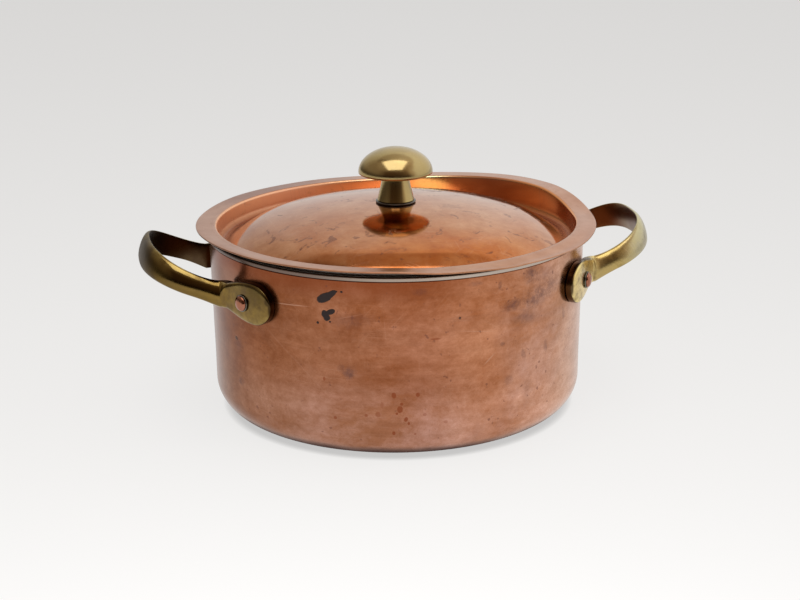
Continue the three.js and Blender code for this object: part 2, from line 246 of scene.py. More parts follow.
def wall_radius(z):
    return POT_RADIUS - WALL_DRAFT * (1 - (z - BASE_CORNER) / (POT_HEIGHT - BASE_CORNER))


def hand_finish(bearing, r, z):
    """The slight waves that hammering and polishing leave in the wall."""
    share = smooth((z - 4) / 20) * smooth((93 - z) / 12)
    wave = 0.10 * np.sin(3 * bearing + 0.05 * z) + 0.05 * np.sin(7 * bearing - 0.11 * z + 1.3)
    wave = wave + 0.035 * np.sin(13 * bearing + 0.23 * z + 0.4)
    return r - 0.1 + share * wave * 0.8 + 0.1 * (1 - share), z + 0 * bearing


def skin_curve(inset, top, rows=36):
    """Side of a drawn skin from the axis over the base corner up to a height."""
    corner = (wall_radius(BASE_CORNER) - BASE_CORNER, BASE_CORNER)
    rounding = arc(corner, BASE_CORNER - inset, -90, 0, CORNER_STEPS)
    base = straight((0, inset), rounding[0], 8)[:-1]
    return [(0, inset)] + base + rounding + straight(rounding[-1], (wall_radius(top) - inset, top), rows)


copper_top = POT_HEIGHT - LIP_HEIGHT
lining_inset = COPPER_WALL + SKIN_GAP
mouth_inset = lining_inset + LINING_WALL
mouth_radius = POT_RADIUS - mouth_inset


def pot_wall():
    outside = skin_curve(0, copper_top - 0.3)
    inside = skin_curve(COPPER_WALL, copper_top, rows=4)
    edge = [(wall_radius(copper_top) - 0.3, copper_top)]
    return spun("copper_wall", outside + edge + inside[::-1], bend=hand_finish)


def pot_skin():
    outside = skin_curve(lining_inset, copper_top + SKIN_GAP, rows=4)
    inside = skin_curve(mouth_inset, POT_HEIGHT - LIP_ROUNDING)
    lip = wall_radius(copper_top) + LIP_PROUD
    foot = copper_top + SKIN_GAP
    edge = (
        arc((lip - 0.3, foot + 0.3), 0.3, -90, 0, 3)
        + arc((lip - LIP_ROUNDING, POT_HEIGHT - LIP_ROUNDING), LIP_ROUNDING, 0, 90, 6)
        + arc((mouth_radius + LIP_ROUNDING, POT_HEIGHT - LIP_ROUNDING), LIP_ROUNDING, 90, 172, 6)
    )
    return spun("pot_inner_skin", outside + edge + inside[::-1])


flange_under = POT_HEIGHT + LID_STAND
flange_top = flange_under + LID_SHEET
dome_top = POT_HEIGHT + DOME_RISE
screw_hole = SCREW_RADIUS + BORE_CLEARANCE


def lid_curve():
    """Upper face of the lid from the screw's hole out to the end of the flange's bend."""
    wall_at_lip = mouth_radius - SEAT_GAP - LID_LINING - SKIN_GAP - LID_SHEET
    wall_foot = wall_at_lip - WELL_DRAFT
    crown_edge = wall_foot - FLANK_WIDTH
    crown_angle = math.degrees(math.asin(crown_edge / CROWN_RADIUS))
    hole_angle = math.degrees(math.asin(screw_hole / CROWN_RADIUS))
    crown = arc((0, dome_top - CROWN_RADIUS), CROWN_RADIUS, 90 - hole_angle, 90 - crown_angle, 26)
    turn = math.radians(crown_angle)
    shoulder = (crown_edge - SHOULDER_RADIUS * math.sin(turn), crown[-1][1] - SHOULDER_RADIUS * math.cos(turn))
    over = arc(shoulder, SHOULDER_RADIUS, 90 - crown_angle, 90 - FLANK_ANGLE, 16)
    flank = math.radians(FLANK_ANGLE)
    trough_r = wall_foot - TROUGH_RADIUS
    end_r = trough_r - TROUGH_RADIUS * math.sin(flank)
    end_z = over[-1][1] - (end_r - over[-1][0]) * math.tan(flank)
    trough = arc((trough_r, end_z + TROUGH_RADIUS * math.cos(flank)), TROUGH_RADIUS, -90 - FLANK_ANGLE, 0, 16)
    bend = arc((wall_at_lip + FLANGE_BEND, flange_top - FLANGE_BEND), FLANGE_BEND, 180, 90, 8)
    flank_line = straight(over[-1], trough[0], 4)[:-1]
    wall_line = straight(trough[-1], bend[0], 4)[:-1]
    return crown + over[1:] + flank_line + trough + wall_line + bend, len(bend)


def flange_warp(bearing, r, z):
    """The flange is bent up at the front left and far more at the back right, where it takes the well wall
    with it. It hangs a little at the front right and is nowhere quite flat. The CAD's flange is flat."""
    turn = np.degrees(bearing)
    turn = (turn + 180) % 360 - 180
    out = smooth((r - 97) / 8)
    wall = smooth((z - 90) / 8) * smooth((r - 92) / 2)
    rise = 1.45 * smooth((3 - turn) / 17) * smooth((turn + 115) / 40)
    dip = 1.2 * smooth(1 - np.abs(turn - 48) / 64)
    lift = LID_LIFT * smooth((turn - 82) / 32) * smooth((182 - turn) / 64)
    ripple = 0.10 * np.sin(5 * bearing + 0.6) + 0.07 * np.sin(11 * bearing + 2.0) - 0.16
    dent = -0.4 * np.exp(-((turn - 20) / 5) ** 2) * smooth((r - 102) / 4)
    return r + 0 * bearing, z + out * (ripple - dip + dent + 0.6 * rise) + wall * (0.4 * rise + lift)


def lid_sheet():
    top, _ = lid_curve()
    reach = POT_RADIUS + FLANGE_OVERHANG
    under = shifted(top, LID_SHEET)
    rim = reach - RIM_ROUNDING
    upper_rim = arc((rim, flange_top - RIM_ROUNDING), RIM_ROUNDING, 0, 90, 4)
    lower_rim = arc((rim, flange_under + RIM_THINNING + RIM_ROUNDING), RIM_ROUNDING, -90, 0, 4)
    out_under = straight(under[-1], lower_rim[0], 8)[:-1]
    out_top = straight(upper_rim[-1], top[-1], 8)[:-1]
    profile = under + out_under + lower_rim + upper_rim + out_top + top[::-1]
    piece = spun("lid_copper_sheet", profile, bend=flange_warp)
    below = np.arange(len(profile)) < len(under) + len(out_under) + 2
    layer = piece.data.attributes.new("underside", "FLOAT", "POINT")
    layer.data.foreach_set("value", np.repeat(below.astype(np.float32), AROUND))
    return piece


def lid_skin():
    top, bend = lid_curve()
    upper = shifted(top, LID_SHEET + SKIN_GAP)[:-bend]
    lower = shifted(top, LID_SHEET + SKIN_GAP + LID_LINING)[:-bend]
    return spun("lid_inner_skin", lower + upper[::-1], bend=flange_warp)


collar_under = dome_top + FACE_GAP
post_foot = collar_under + COLLAR_THICKNESS + FACE_GAP
cap_under = post_foot + POST_HEIGHT
cap_widest = cap_under + CAP_UNDERCUT


def knob():
    post = []
    for share in np.linspace(0, 1, 15)[:-1]:
        radius = mix(POST_NECK_RADIUS, POST_FOOT_RADIUS, (1 - share) ** POST_FLARE)
        post.append((radius, post_foot + 0.3 + (POST_HEIGHT - 0.3) * share))
    profile = [
        (0, post_foot + SCREW_DEPTH),
        (screw_hole, post_foot + SCREW_DEPTH),
        (screw_hole, post_foot),
        (POST_FOOT_RADIUS - 0.3, post_foot),
        *post,
        (POST_NECK_RADIUS, cap_under),
        *arc((CAP_RADIUS - CAP_CHEEK, cap_widest), CAP_CHEEK, -90, 0, 14, CAP_UNDERCUT),
        *arc((0, cap_widest), CAP_RADIUS, 0, 90, 40, CAP_DOME_HEIGHT)[1:-1],
        (0, cap_widest + CAP_DOME_HEIGHT),
    ]
    return spun("turned_knob", profile, around=128)


def ring(name, outer, inner, low, thickness):
    """Flat ring with softened edges."""
    high, soft = low + thickness, min(0.3, thickness / 3)
    profile = (
        [(inner, high - soft / 2), (inner, low + soft / 2), (inner + soft / 2, low)]
        + arc((outer - soft, low + soft), soft, -90, 0, 3)
        + arc((outer - soft, high - soft), soft, 0, 90, 3)
        + [(inner + soft / 2, high)]
    )
    return spun(name, profile, around=96)


lid_under = dome_top - LID_SHEET - SKIN_GAP - LID_LINING
screw_washer_low = lid_under - FACE_GAP - SCREW_WASHER_THICKNESS
screw_head_top = screw_washer_low - FACE_GAP


def knob_screw():
    """Screw from below, its rounded head with a shallow driver's recess in the middle."""
    rim = screw_head_top - SCREW_HEAD_HEIGHT + SCREW_HEAD_ROUNDING
    foot = rim - SCREW_HEAD_ROUNDING
    profile = [
        (0, foot + 0.9),
        (1.9, foot + 0.9),
        (2.2, foot),
        *arc((SCREW_HEAD_RADIUS - SCREW_HEAD_ROUNDING, rim), SCREW_HEAD_ROUNDING, -90, 0, 6),
        (SCREW_HEAD_RADIUS, screw_head_top),
        (SCREW_RADIUS, screw_head_top),
        (SCREW_RADIUS, post_foot + SCREW_DEPTH - FACE_GAP),
        (0, post_foot + SCREW_DEPTH - FACE_GAP),
    ]
    return spun("knob_fixing_screw", profile, around=64)


# Handles

lug_inner = POT_RADIUS + FACE_GAP
lug_radius = lug_inner + LUG_THICKNESS / 2
lug_level = POT_HEIGHT - LUG_DROP
arm_level = POT_HEIGHT - ARM_DROP
bow_end_level = POT_HEIGHT - BOW_END_DROP
bend_y = BOW_HALF_WIDTH + ROOT_BEND
bend_x = math.sqrt((lug_radius + ROOT_BEND) ** 2 - bend_y ** 2)
bend_angle = math.atan2(bend_y, bend_x)
tip_angle = bend_angle + LUG_LENGTH / lug_radius
rivet_angle = tip_angle - RIVET_SETBACK / lug_radius
rivet_level = lug_level - RIVET_LOW


def handle_stations():
    """Half of a handle, from the middle of the bow to the lug's tip, as rows of
    x, y, outward x, outward y, height, level, inside, thickness, crown, lean, share of free bow."""
    rows = []
    bow_depth = POT_RADIUS + BOW_REACH - bend_x
    for a in np.radians(np.linspace(0, 90, BOW_STEPS + 1)[:-1]):
        depth, width = math.cos(a) ** (2 / BOW_SQUARENESS), math.sin(a) ** (2 / BOW_SQUARENESS)
        rise = depth ** BOW_RISE_POWER
        flare = ROOT_FLARE * max(0, 1 - depth / ROOT_FLARE_SHARE) ** 2
        out = Vector((depth ** (BOW_SQUARENESS - 1) / bow_depth, width ** (BOW_SQUARENESS - 1) / BOW_HALF_WIDTH))
        out.normalize()
        rows.append((
            bend_x + bow_depth * depth, BOW_HALF_WIDTH * width, out.x, out.y,
            mix(ARM_HEIGHT, BOW_END_HEIGHT, rise) + flare, mix(arm_level, bow_end_level, rise) - flare / 2,
            BOW_THICKNESS / 2, BOW_THICKNESS, BOW_CROWN, BOW_LEAN * rise, 1,
        ))
    root_height, root_level = ARM_HEIGHT + ROOT_FLARE, arm_level - ROOT_FLARE / 2
    for share in np.linspace(0, 1, BEND_STEPS + 1):
        a = mix(-math.pi / 2, bend_angle - math.pi, share)
        thick = mix(BOW_THICKNESS, LUG_THICKNESS, share)
        rows.append((
            bend_x + ROOT_BEND * math.cos(a), bend_y + ROOT_BEND * math.sin(a), -math.cos(a), -math.sin(a),
            root_height, root_level, thick / 2, thick, mix(BOW_CROWN, LUG_CROWN, smooth(share)), 0,
            1 - smooth(share),
        ))
    half, round_angle = LUG_THICKNESS / 2, LUG_ROUND_LENGTH / lug_radius

    def on_lug(angle, height, level, thick):
        c, s = math.cos(angle), math.sin(angle)
        rows.append((lug_radius * c, lug_radius * s, c, s, height, level, half, thick, LUG_CROWN, 0, 0))

    for share in np.linspace(0, 1, 17)[1:]:
        grown = math.sin(math.pi / 2 * share)
        angle = mix(bend_angle, tip_angle - round_angle, share)
        on_lug(angle, mix(root_height, LUG_HEIGHT, grown), mix(root_level, lug_level, grown), LUG_THICKNESS)
    for a in np.radians(90 * np.sin(np.radians(np.linspace(0, 90, 29)[1:])) ** 0.8 * 0.995):
        thick = mix(LUG_EDGE, LUG_THICKNESS, math.cos(a) ** (2 / LUG_CROWN))
        on_lug(tip_angle - round_angle * (1 - math.sin(a)), LUG_HEIGHT * math.cos(a), lug_level, thick)
    rows = np.array(rows)
    walked = np.r_[0, np.cumsum(np.hypot(*np.diff(rows[:, :2], axis=0).T))]
    bend_middle = walked[BOW_STEPS + BEND_STEPS // 2]
    rows[:, 7] += ROOT_FILLET * np.exp(-((walked - bend_middle) / ROOT_FILLET_REACH) ** 2)
    return rows.tolist()


def handle_section(height, inside, thick, crown, lean, free):
    """Points (outward, up) round a section with a crowned outer face and a nearly flat inner face.
    Each point also gets how near it lies to the outer edges and whether it lies on the inner face."""
    steps = np.linspace(-1, 1, 57)
    a = np.sign(steps) * (math.pi / 4) * (1 - np.cos(math.pi * np.abs(steps)))
    up = np.sign(a) * np.abs(np.sin(a)) ** (2 / crown) * height / 2
    out = mix(mix(LUG_EDGE, EDGE_THICKNESS, free), thick, np.cos(a) ** (2 / crown)) - inside
    near = np.abs(up) / (height / 2)
    sag = free * FACE_SAG * height * (1 - near ** 2)
    out, up = out - lean * sag, up - sag
    soft = min(0.5, height / 5)
    inner = []
    for share in np.linspace(1, -1, 13):
        crest = share + 0.35
        hollow = (crest / 1.35) ** 2 if crest > 0 else 0.6 * (crest / 0.65) ** 2
        inner.append((free * INNER_BELLY * hollow - inside, share * (height / 2 - soft)))
    top = [(inner[0][0] + soft * (1 - math.sin(t)), height / 2 - soft * (1 - math.cos(t)))
           for t in np.radians((0, 30, 60))]
    foot = [(inner[-1][0] + soft * (1 - math.sin(t)), soft * (1 - math.cos(t)) - height / 2)
            for t in np.radians((60, 30, 0))]
    around = list(zip(out, up)) + top + inner + foot
    edge = list(near) + [1] * (len(top) + len(inner) + len(foot))
    inside_face = [0] * (len(near) + 1) + [0.5, 0.8] + [1] * len(inner) + [0.8, 0.5, 0]
    return [(o - lean * u, u) for o, u in around], edge, inside_face


def handle(name, turn):
    half = handle_stations()
    whole = [(row, -1) for row in half[::-1]] + [(row, 1) for row in half[1:]]
    points, faces, edge, face, rim = [], [], [], [], []
    c, s = math.cos(turn), math.sin(turn)
    for (x, y, nx, ny, height, level, inside, thick, crown, lean, free), mirror in whole:
        section, near, inner = handle_section(height, inside, thick, crown, lean, free)
        for o, u in section:
            o += (1 - free) * (u * WALL_DRAFT / (POT_HEIGHT - BASE_CORNER) - LUG_SETTLE) - free * BOW_PULL
            px, py = x + nx * o, mirror * (y + ny * o)
            points.append((c * px - s * py, s * px + c * py, level + u))
        edge += near
        face += [free * share for share in inner]
        # The lugs' rims and tips, which get painted shade
        tip = smooth((0.86 * LUG_THICKNESS - thick) / 0.5) if free == 0 else 0
        rim += [(1 - free) * max(tip, smooth((share - 0.95) / 0.04)) for share in near]
    count = len(section)
    for i in range(len(whole) - 1):
        for j in range(count):
            a, b = i * count + j, i * count + (j + 1) % count
            faces.append((a, a + count, b + count, b))
    last = (len(whole) - 1) * count
    faces.append(tuple(range(count)))
    faces.append(tuple(range(last + count - 1, last - 1, -1)))
    piece = solid(name, points, faces, sharp=40)
    for label, values in (("edge_nearness", edge), ("inner_face", face), ("lug_rim", rim)):
        layer = piece.data.attributes.new(label, "FLOAT", "POINT")
        layer.data.foreach_set("value", np.array(values, np.float32))
    return piece


# Node trees

def lay(tree, kind, inputs=None, **settings):
    """Adds a node. Inputs are given by name or number, as a value or as the socket that feeds it."""
    node = tree.nodes.new(kind)
    for key, value in settings.items():
        setattr(node, key, value)
    for key, value in (inputs or {}).items():
        socket = node.inputs[key]
        if isinstance(value, bpy.types.NodeSocket):
            tree.links.new(value, socket)
        else:
            socket.default_value = value
    return node


def calc(tree, operation, *values):
    return lay(tree, "ShaderNodeMath", dict(enumerate(values)), operation=operation).outputs[0]


def vector_calc(tree, operation, *values, **named):
    """Vector math. A length, distance or dot product comes as a number."""
    node = lay(tree, "ShaderNodeVectorMath", {**dict(enumerate(values)), **named}, operation=operation)
    return node.outputs["Value" if operation in ("LENGTH", "DISTANCE", "DOT_PRODUCT") else "Vector"]


def joined(tree, x, y, z):
    return lay(tree, "ShaderNodeCombineXYZ", {0: x, 1: y, 2: z}).outputs[0]


def split(tree, vector):
    return lay(tree, "ShaderNodeSeparateXYZ", {0: vector}).outputs


def new_group(name, kind, inputs, outputs):
    """An empty node group with named sockets, each given as name: (type, default)."""
    tree = bpy.data.node_groups.new(name, kind)
    for label, (socket, value) in inputs.items():
        made = tree.interface.new_socket(label, in_out="INPUT", socket_type="NodeSocket" + socket)
        if value is not None:
            made.default_value = value
    for label, socket in outputs.items():
        tree.interface.new_socket(label, in_out="OUTPUT", socket_type="NodeSocket" + socket)
    return tree, tree.nodes.new("NodeGroupInput").outputs, tree.nodes.new("NodeGroupOutput")


# Rivets and their washers, set by rule where the lugs lie on the wall

def riveted(name, rings, washer):
    """Turned pieces set square to the wall at the four rivet places. rings is how finely the
    profile is stepped: a flat washer, or a domed head outside with a second one inside the pot."""
    sizes = {
        "Bearing": ("Float", rivet_angle), "Level": ("Float", rivet_level * MM),
        "Seat": ("Float", 0.1), "Radius": ("Float", 0.004), "Height": ("Float", 0.002),
        "Bore": ("Float", 0.0), "Inner Seat": ("Float", 0.09), "Inner Radius": ("Float", 0.004),
        "Inner Height": ("Float", 0.002), "Finish": ("Material", None),
    }
    tree, given, result = new_group(name, "GeometryNodeTree", {"Geometry": ("Geometry", None), **sizes},
                                    {"Geometry": "Geometry"})

    def either(share, low, high):
        return calc(tree, "MULTIPLY_ADD", calc(tree, "SUBTRACT", high, low), share, low)

    grid = lay(tree, "GeometryNodeMeshGrid", {"Size X": 1.0, "Size Y": 1.0, "Vertices X": 41, "Vertices Y": rings})
    place = split(tree, lay(tree, "GeometryNodeInputPosition").outputs[0])
    turn = calc(tree, "MULTIPLY", calc(tree, "ADD", place[0], 0.5), 2 * math.pi)
    share = calc(tree, "ADD", place[1], 0.5)
    if washer:
        angle = calc(tree, "MULTIPLY", share, 2 * math.pi)
        middle = calc(tree, "MULTIPLY", calc(tree, "ADD", given["Radius"], given["Bore"]), 0.5)
        half = calc(tree, "MULTIPLY", calc(tree, "SUBTRACT", given["Radius"], given["Bore"]), 0.5)

        def squared(wave):
            size = calc(tree, "POWER", calc(tree, "ABSOLUTE", wave), 0.35)
            return calc(tree, "MULTIPLY", calc(tree, "SIGN", wave), size)

        radius = calc(tree, "ADD", middle, calc(tree, "MULTIPLY", half, squared(calc(tree, "COSINE", angle))))
        rise = calc(tree, "ADD", 0.5, calc(tree, "MULTIPLY", squared(calc(tree, "SINE", angle)), -0.5))
        height = calc(tree, "MULTIPLY", given["Height"], rise)
    else:
        angle = calc(tree, "MULTIPLY", calc(tree, "MINIMUM", calc(tree, "DIVIDE", share, 0.8), 1.0), math.pi / 2)
        under = calc(tree, "DIVIDE", calc(tree, "MAXIMUM", calc(tree, "SUBTRACT", share, 0.8), 0.0), 0.2)
        radius = calc(tree, "MULTIPLY", calc(tree, "SINE", angle), calc(tree, "SUBTRACT", 1.0, under))
        height = calc(tree, "POWER", calc(tree, "MAXIMUM", calc(tree, "COSINE", angle), 0.0), 0.86)
    x = calc(tree, "MULTIPLY", radius, calc(tree, "COSINE", turn))
    y = calc(tree, "MULTIPLY", radius, calc(tree, "SINE", turn))
    turned = lay(tree, "GeometryNodeSetPosition",
                 {"Geometry": grid.outputs[0], "Position": joined(tree, x, y, height)}).outputs[0]
    closed = lay(tree, "GeometryNodeMergeByDistance", {"Geometry": turned, "Distance": 1e-6}).outputs[0]

    line = lay(tree, "GeometryNodeMeshLine", {"Count": 4 if washer else 8}).outputs[0]
    index = lay(tree, "GeometryNodeInputIndex").outputs[0]
    inner = calc(tree, "GREATER_THAN", index, 3.5)
    side = calc(tree, "SUBTRACT", calc(tree, "MULTIPLY", calc(tree, "MODULO", index, 2), 2), 1)
    opposite = calc(tree, "MODULO", calc(tree, "FLOOR", calc(tree, "DIVIDE", index, 2)), 2)
    bearing = calc(tree, "MULTIPLY_ADD", opposite, math.pi, calc(tree, "MULTIPLY", side, given["Bearing"]))
    seat = either(inner, given["Seat"], given["Inner Seat"])
    px = calc(tree, "MULTIPLY", seat, calc(tree, "COSINE", bearing))
    py = calc(tree, "MULTIPLY", seat, calc(tree, "SINE", bearing))
    spot = joined(tree, px, py, given["Level"])
    points = lay(tree, "GeometryNodeSetPosition", {"Geometry": line, "Position": spot}).outputs[0]
    facing = joined(tree, 0.0, either(inner, math.pi / 2, -math.pi / 2), bearing)
    inputs = {"Points": points, "Instance": closed, "Rotation": facing}
    if not washer:
        spread = either(inner, given["Radius"], given["Inner Radius"])
        deep = either(inner, given["Height"], given["Inner Height"])
        inputs["Scale"] = joined(tree, spread, spread, deep)
    set_in = lay(tree, "GeometryNodeInstanceOnPoints", inputs).outputs[0]
    real = lay(tree, "GeometryNodeRealizeInstances", {"Geometry": set_in}).outputs[0]
    smooth_faces = lay(tree, "GeometryNodeSetShadeSmooth", {"Geometry": real}).outputs[0]
    last = lay(tree, "GeometryNodeSetMaterial", {"Geometry": smooth_faces, "Material": given["Finish"]}).outputs[0]
    tree.links.new(last, result.inputs[0])
    return tree


def grown(name, tree, **values):
    """The tree's result as a plain mesh object."""
    holder = placed(name + "_holder", bpy.data.meshes.new(name + "_holder"))
    modifier = holder.modifiers.new("make", "NODES")
    modifier.node_group = tree
    for socket in tree.interface.items_tree:
        label = socket.name.replace(" ", "_")
        if socket.in_out == "INPUT" and label in values:
            modifier[socket.identifier] = values[label]
    evaluated = holder.evaluated_get(bpy.context.evaluated_depsgraph_get())
    mesh = bpy.data.meshes.new_from_object(evaluated)
    mesh.name = name
    bpy.data.objects.remove(holder)
    return placed(name, mesh)


# Finishes

def noise(tree, vector, scale, detail=4.0, rough=0.55, distort=0.0):
    made = lay(tree, "ShaderNodeTexNoise",
               {"Vector": vector, "Scale": scale, "Detail": detail, "Roughness": rough, "Distortion": distort})
    return made.outputs["Fac"]


def stretched(tree, vector, scale):
    return lay(tree, "ShaderNodeMapping", {"Vector": vector, "Scale": scale}).outputs[0]


def ranged(tree, value, low, high, to_low=0.0, to_high=1.0, smoothly=True):
    return lay(tree, "ShaderNodeMapRange",
               {"Value": value, "From Min": low, "From Max": high, "To Min": to_low, "To Max": to_high},
               interpolation_type="SMOOTHSTEP" if smoothly else "LINEAR").outputs[0]


def blended(tree, share, low, high, way="MIX"):
    node = lay(tree, "ShaderNodeMix", data_type="RGBA", blend_type=way)
    for number, value in ((0, share), (6, low), (7, high)):
        if isinstance(value, bpy.types.NodeSocket):
            tree.links.new(value, node.inputs[number])
        elif number == 0:
            node.inputs[0].default_value = value
        else:
            node.inputs[number].default_value = (*value, 1)
    return node.outputs[2]


def make_clouds():
    """Cloudy and grainy shift between two tints of a metal, with duller patches over it."""
    tree, given, result = new_group(
        "Tarnish clouds", "ShaderNodeTree",
        {"Vector": ("Vector", None), "Scale": ("Float", 20.0), "Plain": ("Color", (1, 1, 1, 1)),
         "Warm": ("Color", (1, 1, 1, 1)), "Dull": ("Color", (1, 1, 1, 1)), "Strength": ("Float", 1.0)},
        {"Color": "Color", "Dullness": "Float"})
    cloud = noise(tree, given["Vector"], given["Scale"], 7.0, 0.76, 0.25)
    first = blended(tree, ranged(tree, cloud, 0.38, 0.63, smoothly=False), given["Warm"], given["Plain"])
    aside = vector_calc(tree, "ADD", given["Vector"], (3.1, 1.7, 0.6))
    other = noise(tree, aside, calc(tree, "MULTIPLY", given["Scale"], 0.8), 6.0, 0.68, 0.5)
    dull = calc(tree, "MULTIPLY", ranged(tree, other, 0.50, 0.70), given["Strength"])
    tree.links.new(blended(tree, dull, first, given["Dull"]), result.inputs["Color"])
    tree.links.new(dull, result.inputs["Dullness"])
    return tree


def make_scratches():
    """Straight hair-fine scratches in four directions over a flat pair of coordinates in metres."""
    tree, given, result = new_group(
        "Fine scratches", "ShaderNodeTree",
        {"Vector": ("Vector", None), "Length": ("Float", 0.02), "Amount": ("Float", 1.0)}, {"Mask": "Float"})
    along, across = calc(tree, "DIVIDE", 1.0, given["Length"]), 3200.0
    total = None
    for number, (turn, few) in enumerate(((0.05, 0.0), (0.62, 0.03), (-0.85, 0.03), (1.5, 0.04))):
        run = lay(tree, "ShaderNodeVectorRotate", {"Vector": given["Vector"], "Angle": turn},
                  rotation_type="Z_AXIS").outputs[0]
        run = vector_calc(tree, "MULTIPLY", run, joined(tree, along, across, 0.0))
        run = vector_calc(tree, "ADD", run, (7.3 * number, 3.1 * number, 0))
        line = noise(tree, run, 1.0, 0.0, 0.0)
        mark = ranged(tree, line, 0.69 + few, 0.78 + few)
        total = mark if total is None else calc(tree, "MAXIMUM", total, mark)
    patchy = ranged(tree, noise(tree, given["Vector"], 38.0, 3.0), 0.38, 0.62, 0.15, 1.0)
    total = calc(tree, "MULTIPLY", total, patchy)
    tree.links.new(calc(tree, "MULTIPLY", total, given["Amount"]), result.inputs["Mask"])
    return tree


def make_unrolled():
    """A turned wall laid flat: distance round the axis at the pot's radius, and height."""
    tree, given, result = new_group("Unrolled wall", "ShaderNodeTree", {"Vector": ("Vector", None)},
                                    {"Flat": "Vector", "Radius": "Float", "Height": "Float"})
    parts = split(tree, given["Vector"])
    bearing = calc(tree, "ARCTAN2", parts[0], calc(tree, "MULTIPLY", parts[1], -1.0))
    round_wall = calc(tree, "MULTIPLY", bearing, POT_RADIUS * MM)
    flat = joined(tree, round_wall, parts[2], 0.0)
    radius = vector_calc(tree, "LENGTH", joined(tree, parts[0], parts[1], 0.0))
    for label, value in (("Flat", flat), ("Radius", radius), ("Height", parts[2])):
        tree.links.new(value, result.inputs[label])
    return tree


def make_brushing():
    """Even polishing lines that run round the pot's axis, from coordinates squeezed along Z."""
    tree, given, result = new_group(
        "Polishing lines", "ShaderNodeTree",
        {"Vector": ("Vector", None), "Run": ("Float", 12.0), "Pitch": ("Float", 900.0)},
        {"Height": "Float", "Streak": "Float"})
    squeeze = joined(tree, given["Run"], given["Run"], given["Pitch"])
    lines = vector_calc(tree, "MULTIPLY", given["Vector"], squeeze)
    tree.links.new(noise(tree, lines, 1.0, 3.0, 0.6), result.inputs["Height"])
    wide = vector_calc(tree, "MULTIPLY", lines, (0.6, 0.6, 0.14))
    tree.links.new(noise(tree, wide, 1.0, 4.0, 0.6, 0.4), result.inputs["Streak"])
    return tree


def make_turning():
    """Lathe marks: fine rings round the Z axis, across both flat and upright faces."""
    tree, given, result = new_group(
        "Turning rings", "ShaderNodeTree", {"Vector": ("Vector", None), "Pitch": ("Float", 1500.0)},
        {"Height": "Float"})
    parts = split(tree, given["Vector"])
    radius = vector_calc(tree, "LENGTH", joined(tree, parts[0], parts[1], 0.0))
    run = joined(tree, calc(tree, "MULTIPLY", radius, given["Pitch"]),
                 calc(tree, "MULTIPLY", parts[2], given["Pitch"]), 0.0)
    tree.links.new(noise(tree, run, 1.0, 2.0, 0.5), result.inputs["Height"])
    return tree


def make_mark():
    """One mark, a stain or a patch of painted light or shade: an oval with a ragged edge, placed, turned and sized
    in the piece's space.
    """
    tree, given, result = new_group(
        "Stain", "ShaderNodeTree",
        {"Vector": ("Vector", None), "Place": ("Vector", (0, 0, 0)), "Turn": ("Vector", (0, 0, 0)),
         "Size": ("Vector", (1, 1, 1)), "Ragged": ("Float", 0.5), "Softness": ("Float", 0.15),
         "Strength": ("Float", 1.0)},
        {"Mask": "Float"})
    local = lay(tree, "ShaderNodeMapping",
                {"Vector": given["Vector"], "Location": given["Place"], "Rotation": given["Turn"],
                 "Scale": given["Size"]}, vector_type="TEXTURE").outputs[0]
    reach = vector_calc(tree, "LENGTH", local)
    wobble = calc(tree, "SUBTRACT", noise(tree, given["Vector"], 420.0, 3.0, 0.6), 0.5)
    uneven = calc(tree, "MULTIPLY_ADD", wobble, given["Ragged"], reach)
    inner = calc(tree, "SUBTRACT", 1.0, given["Softness"])
    outer = calc(tree, "ADD", 1.0, given["Softness"])
    mask = ranged(tree, uneven, outer, inner)
    tree.links.new(calc(tree, "MULTIPLY", mask, given["Strength"]), result.inputs["Mask"])
    return tree


CLOUDS = make_clouds()
SCRATCHES = make_scratches()
UNROLLED = make_unrolled()
BRUSHING = make_brushing()
TURNING = make_turning()
STAIN_AND_PAINTED_LIGHT = make_mark()


